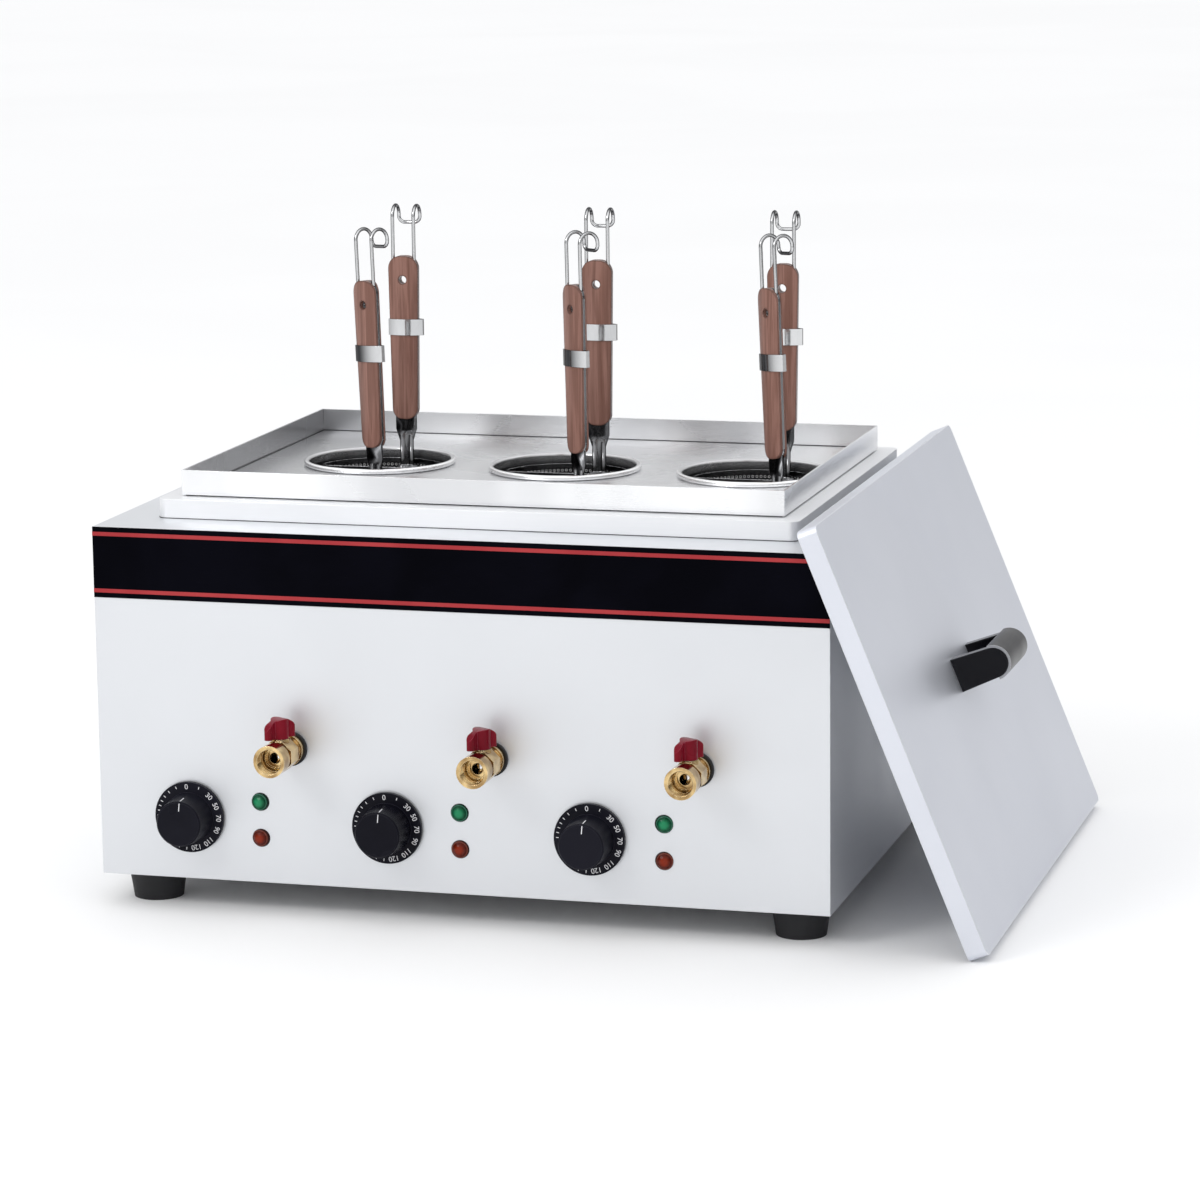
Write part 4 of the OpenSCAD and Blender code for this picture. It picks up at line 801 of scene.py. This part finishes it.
@dataclass
class Strainers(Assembly):
    """Six half-round strainers: the CAD basket keeps its floor, rim and tang, and its wall is perforated."""

    radius: float = 55.5 * MM
    split: float = 3.0 * MM
    corner: float = 9.0 * MM
    wall: float = 1.0 * MM
    low: float = 3.0 * MM
    high: float = 121.0 * MM
    pitch: float = 3.5 * MM
    hole: float = 1.7 * MM
    hole_rim: float = 2.5 * MM
    rim_longest: float = 1.4 * MM
    hole_sides: int = 6
    tile_weld: float = 0.01 * MM
    cad_weld: float = 0.001 * MM
    cut_slack: float = 0.0005 * MM
    near: float = 0.06 * MM
    steepest: float = 0.3

    @property
    def core(self) -> tuple[float, float, float]:
        """Gives the corner's centre in X and Y, and its angle seen from the tank's axis."""
        y = self.split + self.corner
        x = math.sqrt((self.radius - self.corner) ** 2 - y * y)
        return x, y, math.atan2(y, x)

    @property
    def stretches(self) -> tuple[float, float, float]:
        """Gives the lengths of the straight wall, one corner and the round wall."""
        x, _, tilt = self.core
        return 2 * x, self.corner * (math.pi / 2 + tilt), self.radius * (math.pi - 2 * tilt)

    def along_wall(self, run: float) -> tuple[float, float]:
        """Gives the point of the wall's outside after a run from the straight wall's left end.

        Args:
            run: Length along the wall.

        Returns:
            X and Y from the tank's axis.
        """
        x, y, tilt = self.core
        straight, bend, round_run = self.stretches
        if run <= straight:
            return run - x, self.split
        run -= straight
        if run <= bend:
            turn = run / self.corner - math.pi / 2
            return x + self.corner * math.cos(turn), y + self.corner * math.sin(turn)
        run -= bend
        if run <= round_run:
            turn = tilt + run / self.radius
            return self.radius * math.cos(turn), self.radius * math.sin(turn)
        turn = math.pi - tilt + (run - round_run) / self.corner
        return self.corner * math.cos(turn) - x, y + self.corner * math.sin(turn)

    def depth_in(self, x: float, y: float) -> float:
        """Gives how far a point lies inside the wall's outside.

        Args:
            x: Place from the tank's axis, in the rear basket's frame.
            y: The same, towards the round wall.

        Returns:
            Depth, below 0 outside.
        """
        cx, cy, tilt = self.core
        angle = math.atan2(y, x)
        if y >= cy and tilt <= angle <= math.pi - tilt:
            return min(self.radius - math.hypot(x, y), y - self.split)
        if abs(x) <= cx:
            return y - self.split
        return self.corner - math.hypot(abs(x) - cx, y - cy)

    def perforated_wall(self) -> bmesh.types.BMesh:
        """Builds the wall from one pierced tile, repeated in staggered rows and wrapped round the outline.

        Returns:
            The wall, in the rear basket's frame with the basket's foot at Z 0.
        """
        straight, bend, round_run = self.stretches
        around = straight + 2 * bend + round_run
        columns = round(around / self.pitch)
        rows = round((self.high - self.low) / self.pitch)
        cell = Vector((around / columns, (self.high - self.low) / rows, 0.0))
        shape = bmesh.new()
        bmesh.ops.create_grid(shape, x_segments=2, y_segments=1, size=0.5)
        bmesh.ops.scale(shape, vec=(cell.x, cell.y, 1.0), verts=shape.verts)
        whole = bmesh.ops.dissolve_faces(shape, faces=shape.faces[:])["region"]
        bmesh.ops.delete(shape, geom=whole, context="FACES_ONLY")
        pressed = bmesh.ops.create_circle(shape, segments=self.hole_sides, radius=self.hole_rim / 2)["verts"]
        bmesh.ops.bridge_loops(shape, edges=shape.edges)
        edges = [e for e in shape.edges if all(v in pressed for v in e.verts)]
        inner = bmesh.ops.extrude_edge_only(shape, edges=edges)["geom"]
        share = self.hole / self.hole_rim
        bmesh.ops.scale(shape, vec=(share, share, 1.0),
                        verts=[g for g in inner if isinstance(g, bmesh.types.BMVert)])
        first = shape.faces[:]
        for column in range(1, columns):
            self.repeat(shape, first, Vector((column * cell.x, 0.0, 0.0)))
        strip = shape.faces[:]
        for line in range(1, rows):
            self.repeat(shape, strip, Vector((line % 2 * cell.x / 2, line * cell.y, 0.0)))
        bmesh.ops.remove_doubles(shape, verts=shape.verts, dist=self.tile_weld)
        for vert in shape.verts:
            x, y = self.along_wall((vert.co.x + cell.x) % around)
            vert.co = Vector((x, y, self.low + vert.co.y + cell.y / 2))
        bmesh.ops.remove_doubles(shape, verts=shape.verts, dist=self.tile_weld)
        bmesh.ops.recalc_face_normals(shape, faces=shape.faces)
        bmesh.ops.solidify(shape, geom=shape.faces[:], thickness=self.wall)
        # Short faces round the holes get the painted glint finish, the rest of the wall the painted shade
        # finish.
        for face in shape.faces:
            longest = max(edge.calc_length() for edge in face.edges)
            face.material_index = 1 if longest < self.rim_longest else 2
        return shape

    @staticmethod
    def repeat(shape: bmesh.types.BMesh, faces: list[bmesh.types.BMFace], step: Vector) -> None:
        """Adds a moved copy of some faces.

        Args:
            shape: The shape that grows.
            faces: Faces to copy.
            step: How far the copy moves.
        """
        copy = bmesh.ops.duplicate(shape, geom=faces)["geom"]
        bmesh.ops.translate(shape, vec=step, verts=[g for g in copy if isinstance(g, bmesh.types.BMVert)])

    def kept_of_basket(self, node: str, into: Matrix) -> bmesh.types.BMesh:
        """Copies a CAD basket and takes out the plain wall between its floor and its rim.

        Args:
            node: Name of the basket's node.
            into: Moves the frame's points into the rear basket's frame.

        Returns:
            Floor, rim and tang, in the rear basket's frame.
        """
        shape = bmesh.new()
        shape.from_mesh(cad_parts[node].data)
        bmesh.ops.remove_doubles(shape, verts=shape.verts, dist=self.cad_weld)
        bmesh.ops.transform(shape, matrix=into, verts=shape.verts)
        for level in (self.low, self.high):
            bmesh.ops.bisect_plane(shape, geom=shape.verts[:] + shape.edges[:] + shape.faces[:],
                                   plane_co=(0.0, 0.0, level), plane_no=(0.0, 0.0, 1.0), dist=self.cut_slack)
        walls = []
        for face in shape.faces:
            middle = face.calc_center_median()
            if not self.low < middle.z < self.high or abs(face.normal.z) > self.steepest:
                continue
            depths = [self.depth_in(v.co.x, v.co.y) for v in face.verts]
            if all(abs(d) < self.near or abs(d - self.wall) < self.near for d in depths):
                walls.append(face)
        bmesh.ops.delete(shape, geom=walls, context="FACES")
        loose = [e for e in shape.edges if not e.link_faces]
        bmesh.ops.delete(shape, geom=loose, context="EDGES")
        for level in (self.low, self.high):
            rims = [e for e in shape.edges
                    if e.is_boundary and all(abs(v.co.z - level) < self.near for v in e.verts)]
            bmesh.ops.bridge_loops(shape, edges=rims)
        bmesh.ops.holes_fill(shape, edges=[e for e in shape.edges if e.is_boundary], sides=0)
        return shape

    def build(self) -> None:
        """Builds the six perforated baskets in place of their CAD nodes."""
        wall = bpy.data.meshes.new("perforated_wall")
        made = self.perforated_wall()
        made.to_mesh(wall)
        made.free()
        for side in Side:
            for k in ROW:
                tank = sum(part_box(f"tank_{k}"), Vector()) / 2
                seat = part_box(f"{side.word}_basket_{k}")[0].z
                place = (Matrix.Translation((tank.x, tank.y, seat))
                         @ Matrix.Rotation(0.0 if side is Side.REAR else math.pi, 4, "Z"))
                shape = self.kept_of_basket(f"{side.word}_basket_{k}", place.inverted())
                shape.from_mesh(wall)
                bmesh.ops.transform(shape, matrix=place, verts=shape.verts)
                settle(f"{side.word}_perforated_basket_{k}", shape, STRAINER_STEEL,
                       f"{side.word}_strainer_{k}", (f"{side.word}_basket_{k}",),
                       (PIERCED_EDGE_GLINT, PIERCED_WALL_SHADE))
        bpy.data.meshes.remove(wall)

    def dress(self) -> None:
        """Finishes grips and hooks."""
        for side in Side:
            paint(WOOD, *in_row(f"{side.word}_grip"))
            paint(HOOK_STEEL, *in_row(f"{side.word}_hook"))


@dataclass
class DrainValves(Assembly):
    """Brass drain valves with red levers."""

    outlet_radius: float = 10.0 * MM
    thread_rise: float = 0.55 * MM
    thread_pitch: float = 1.5 * MM
    threads: int = 6
    first_thread: float = 0.8
    foot_share: float = 0.45
    crest_share: float = 0.08
    foot_sink: float = 0.1 * MM

    def build(self) -> None:
        """Builds the ridges of the outlets' threads."""
        for k in ROW:
            shape = bmesh.new()
            low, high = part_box(f"valve_body_{k}")
            level = sum(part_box("valve_washers"), Vector()).z / 2
            place = Matrix.Translation(((low.x + high.x) / 2, low.y, level))
            foot, crest = self.outlet_radius + self.foot_sink, self.outlet_radius - self.thread_rise
            for turn in range(self.threads):
                y = (turn + self.first_thread) * self.thread_pitch
                merge_in(shape, ring([(foot, y - self.foot_share * self.thread_pitch),
                                      (crest, y - self.crest_share * self.thread_pitch),
                                      (crest, y + self.crest_share * self.thread_pitch),
                                      (foot, y + self.foot_share * self.thread_pitch)]), place)
            settle(f"outlet_thread_{k}", shape, BRASS, "cooker")

    def dress(self) -> None:
        """Finishes the valves' nodes."""
        paint(BRASS, *in_row("valve_body"))
        paint(CHROME, *in_row("valve_ball"))
        paint(RED_ENAMEL, *in_row("lever"))
        paint(RUBBER, "valve_washers")


@dataclass
class Controls(Assembly):
    """Thermostat knobs with printed dials, and pilot lamps."""

    dial_thickness: float = 3.0 * MM
    dial_radius: float = 28.75 * MM
    grip_radii: Span = (20.5 * MM, 18.5 * MM)
    grip_height: float = 27.0 * MM
    figure_in: float = 4.0 * MM
    figure_height: float = 4.4 * MM
    figures: dict[str, float] = field(default_factory=lambda: {
        "0": -4.0, "30": 44.0, "50": 66.0, "70": 89.0, "90": 112.0, "110": 140.0, "120": 167.0})
    strokes: tuple[float, ...] = (-24.0, -40.0, -52.0, -62.0, -71.0, -80.0, -89.0, 20.0, 186.0, 200.0)
    stroke_size: Span = (0.6 * MM, 2.2 * MM)
    stroke_out: float = 1.0 * MM
    pointer_turn: float = 5.0
    face_pointer: Span = (0.7 * MM, 6.5 * MM)
    face_in: float = 4.6 * MM
    side_pointer: Span = (0.7 * MM, 8.0 * MM)
    side_out: float = 0.45 * MM
    side_back: float = 6.0 * MM
    ink: float = 0.12 * MM
    figure_scale: float = 1.35
    figure_weld: float = 0.001 * MM
    bar_corner: float = 0.3

    def figure(self, text: str) -> bmesh.types.BMesh:
        """Makes one printed number, upright and facing the front.

        Args:
            text: The digits.

        Returns:
            The number, centred on the origin.
        """
        curve = bpy.data.curves.new("figure", "FONT")
        curve.body = text
        curve.size = self.figure_height * self.figure_scale
        curve.align_x, curve.align_y = "CENTER", "CENTER"
        curve.extrude = self.ink
        passing = bpy.data.objects.new("figure", curve)
        bpy.context.scene.collection.objects.link(passing)
        bpy.context.view_layer.update()
        mesh = bpy.data.meshes.new_from_object(passing.evaluated_get(bpy.context.evaluated_depsgraph_get()))
        shape = bmesh.new()
        shape.from_mesh(mesh)
        bpy.data.objects.remove(passing)
        bpy.data.curves.remove(curve)
        bpy.data.meshes.remove(mesh)
        bmesh.ops.remove_doubles(shape, verts=shape.verts, dist=self.figure_weld)
        bmesh.ops.transform(shape, matrix=Matrix.Rotation(math.pi / 2, 4, "X"), verts=shape.verts)
        return shape

    def bar(self, width: float, length: float) -> bmesh.types.BMesh:
        """Makes one printed stroke with rounded corners, standing upright and facing the front.

        Args:
            width: Width of the stroke.
            length: Length of the stroke.

        Returns:
            The stroke, centred on the origin.
        """
        shape = bmesh.new()
        bmesh.ops.create_cube(shape, size=1.0)
        bmesh.ops.scale(shape, vec=(width, 2 * self.ink, length), verts=shape.verts)
        upright = [e for e in shape.edges if abs(e.verts[0].co.y - e.verts[1].co.y) > self.ink]
        bmesh.ops.bevel(shape, geom=upright, offset=width * self.bar_corner, segments=2,
                        profile=ROUND_PROFILE, affect="EDGES", material=-1)
        return shape

    def on_dial(self, turn: float, radius: float, y: float) -> Matrix:
        """Gives the place of a mark on the dial, turned clockwise from the top.

        Args:
            turn: Degrees from the top.
            radius: Distance from the knob's axis.
            y: Place along the knob's axis.

        Returns:
            The place, for a knob on the Y axis.
        """
        return Matrix.Rotation(math.radians(turn), 4, "Y") @ Matrix.Translation((0.0, y, radius))

    def build(self) -> None:
        """Builds each dial's numbers and strokes, and the pointer on its grip's face and side."""
        for k in ROW:
            low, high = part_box(f"knob_{k}")
            dial_y = high.y - self.dial_thickness
            shape = bmesh.new()
            circle = self.dial_radius - self.figure_in
            for text, turn in self.figures.items():
                merge_in(shape, self.figure(text), self.on_dial(turn, circle, dial_y))
            for turn in self.strokes:
                merge_in(shape, self.bar(*self.stroke_size),
                         self.on_dial(turn, circle + self.stroke_out, dial_y))
            root, face = self.grip_radii
            slope = Matrix.Rotation(math.atan2(root - face, self.grip_height) - math.pi / 2, 4, "X")
            merge_in(shape, self.bar(*self.face_pointer),
                     self.on_dial(self.pointer_turn, face - self.face_in, low.y))
            merge_in(shape, self.bar(*self.side_pointer),
                     self.on_dial(self.pointer_turn, face + self.side_out, low.y + self.side_back) @ slope)
            middle = (low + high) / 2
            place = Matrix.Translation((middle.x, 0.0, middle.z))
            bmesh.ops.transform(shape, matrix=place, verts=shape.verts)
            settle(f"dial_print_{k}", shape, DIAL_INK, f"knob_set_{k}")

    def dress(self) -> None:
        """Finishes the controls' nodes."""
        paint(KNOB_PLASTIC, *in_row("knob"))
        paint(BRIGHT_STEEL, *in_row("spindle"))
        paint(CASE_PLASTIC, "thermostats")
        paint(GREEN_LENS, "green_lamps")
        paint(AMBER_LENS, "amber_lamps")


@dataclass
class Lid(Assembly):
    """Leaning lid with its moulded handle."""

    def dress(self) -> None:
        """Finishes the lid's nodes."""
        paint(LID_STEEL, "lid_pan")
        paint(HANDLE_PLASTIC, "lid_handle_legs")
        paint(STRAP_STEEL, "lid_handle_strap")


@dataclass(frozen=True)
class SoftLight:
    """One soft rectangular studio light."""

    name: str
    place: Point
    aim: Point
    size: Span
    power: float

    def switch_on(self) -> None:
        """Adds the light to the scene."""
        data = bpy.data.lights.new(self.name, "AREA")
        data.shape = "RECTANGLE"
        data.size, data.size_y = self.size
        data.energy = self.power
        lamp = bpy.data.objects.new(self.name, data)
        lamp.location = self.place
        lamp.rotation_euler = (Vector(self.aim) - Vector(self.place)).to_track_quat("-Z", "Y").to_euler()
        bpy.context.scene.collection.objects.link(lamp)


@dataclass
class Studio:
    """Pale floor, soft light and the camera."""

    lens: float = 132.29
    sensor: float = 36.0
    place: Point = (1.0163, -3.4552, 0.9041)
    right: Point = (0.96383, 0.26671, -0.01028)
    up: Point = (-0.04021, 0.18311, 0.9823)
    back: Point = (0.2639, -0.9463, 0.1872)
    clip: Span = (0.05, 200.0)
    floor_size: float = 60.0
    floor_tint: Colour = (0.95, 0.95, 0.95)
    floor_shade: float = 0.985
    floor_cloud: float = 0.8
    floor_roughness: float = 0.9
    floor_specular: float = 0.1
    sides: float = 0.2
    behind: float = 0.66
    ahead: float = 0.78
    zenith: float = 1.22
    depth_span: Span = (-0.3, 0.3)
    side_span: Span = (0.45, 0.8)
    height_span: Span = (0.1, 0.8)
    sky_tint: Colour = (0.985, 0.99, 1.0)
    lights: tuple[SoftLight, ...] = (
        SoftLight("front_soft_light", (-1.7, -2.6, 2.3), (0.0, 0.0, 0.15), (1.3, 1.0), 30.0),
    )

    def set_camera(self) -> None:
        """Adds the camera at the photograph's viewing angle."""
        data = bpy.data.cameras.new("camera")
        data.lens, data.sensor_width = self.lens, self.sensor
        data.clip_start, data.clip_end = self.clip
        camera = bpy.data.objects.new("camera", data)
        turn = Matrix((self.right, self.up, self.back)).transposed()
        middle = Vector((CASING_MIDDLE.x, CASING_MIDDLE.y, 0.0))
        camera.matrix_world = Matrix.Translation(middle + Vector(self.place)) @ turn.to_4x4()
        bpy.context.scene.collection.objects.link(camera)
        bpy.context.scene.camera = camera

    def lay_floor(self) -> None:
        """Adds the floor."""
        shape = bmesh.new()
        bmesh.ops.create_grid(shape, x_segments=2, y_segments=2, size=self.floor_size / 2)
        mesh = bpy.data.meshes.new("studio_floor")
        shape.to_mesh(mesh)
        shape.free()
        material = bpy.data.materials.new("pale_floor")
        material.use_nodes = True
        graph = Graph(material.node_tree)
        shader = material.node_tree.nodes["Principled BSDF"]
        cloud = graph.effect(Effect.SMUDGED, Scale=self.floor_cloud).outputs[0]
        tint = graph.mixed(cloud, self.floor_tint, tuple(self.floor_shade * c for c in self.floor_tint))
        graph.tree.links.new(tint, shader.inputs["Base Color"])
        shader.inputs["Roughness"].default_value = self.floor_roughness
        shader.inputs["Specular IOR Level"].default_value = self.floor_specular
        mesh.materials.append(material)
        floor = bpy.data.objects.new("studio_floor", mesh)
        bpy.context.scene.collection.objects.link(floor)

    def light(self) -> None:
        """Adds the lights and a sky that is brightest overhead and darkest at the sides."""
        world = bpy.data.worlds.new("studio_sky")
        world.use_nodes = True
        bpy.context.scene.world = world
        graph = Graph(world.node_tree)
        seen = graph.add("ShaderNodeTexCoord").outputs["Generated"]
        parts = graph.add("ShaderNodeSeparateXYZ", {0: seen}).outputs
        wide = graph.add("ShaderNodeMath", {0: parts["X"]}, operation="ABSOLUTE").outputs[0]
        low = graph.ranged(parts["Y"], self.depth_span, (self.ahead, self.behind))
        for share, shade in ((graph.ranged(wide, self.side_span, FULL), self.sides),
                             (graph.ranged(parts["Z"], self.height_span, FULL), self.zenith)):
            low = graph.add("ShaderNodeMix", {0: share, 2: low, 3: shade}).outputs[0]
        sky = world.node_tree.nodes["Background"]
        sky.inputs["Color"].default_value = (*self.sky_tint, 1.0)
        world.node_tree.links.new(low, sky.inputs["Strength"])
        for lamp in self.lights:
            lamp.switch_on()

    def build(self) -> None:
        """Sets up camera, floor and light, with plain tones in the picture."""
        self.set_camera()
        self.lay_floor()
        self.light()
        bpy.context.scene.view_settings.view_transform = "Standard"


def main() -> None:
    """Builds and dresses the sub-assemblies in order."""
    logging.basicConfig(level=logging.INFO, format="%(message)s")
    Studio().build()
    for assembly in (Casing(), TrayTop(), Strainers(), DrainValves(), Controls(), Lid()):
        assembly.dress()
        assembly.build()


if __name__ == "__main__":
    main()
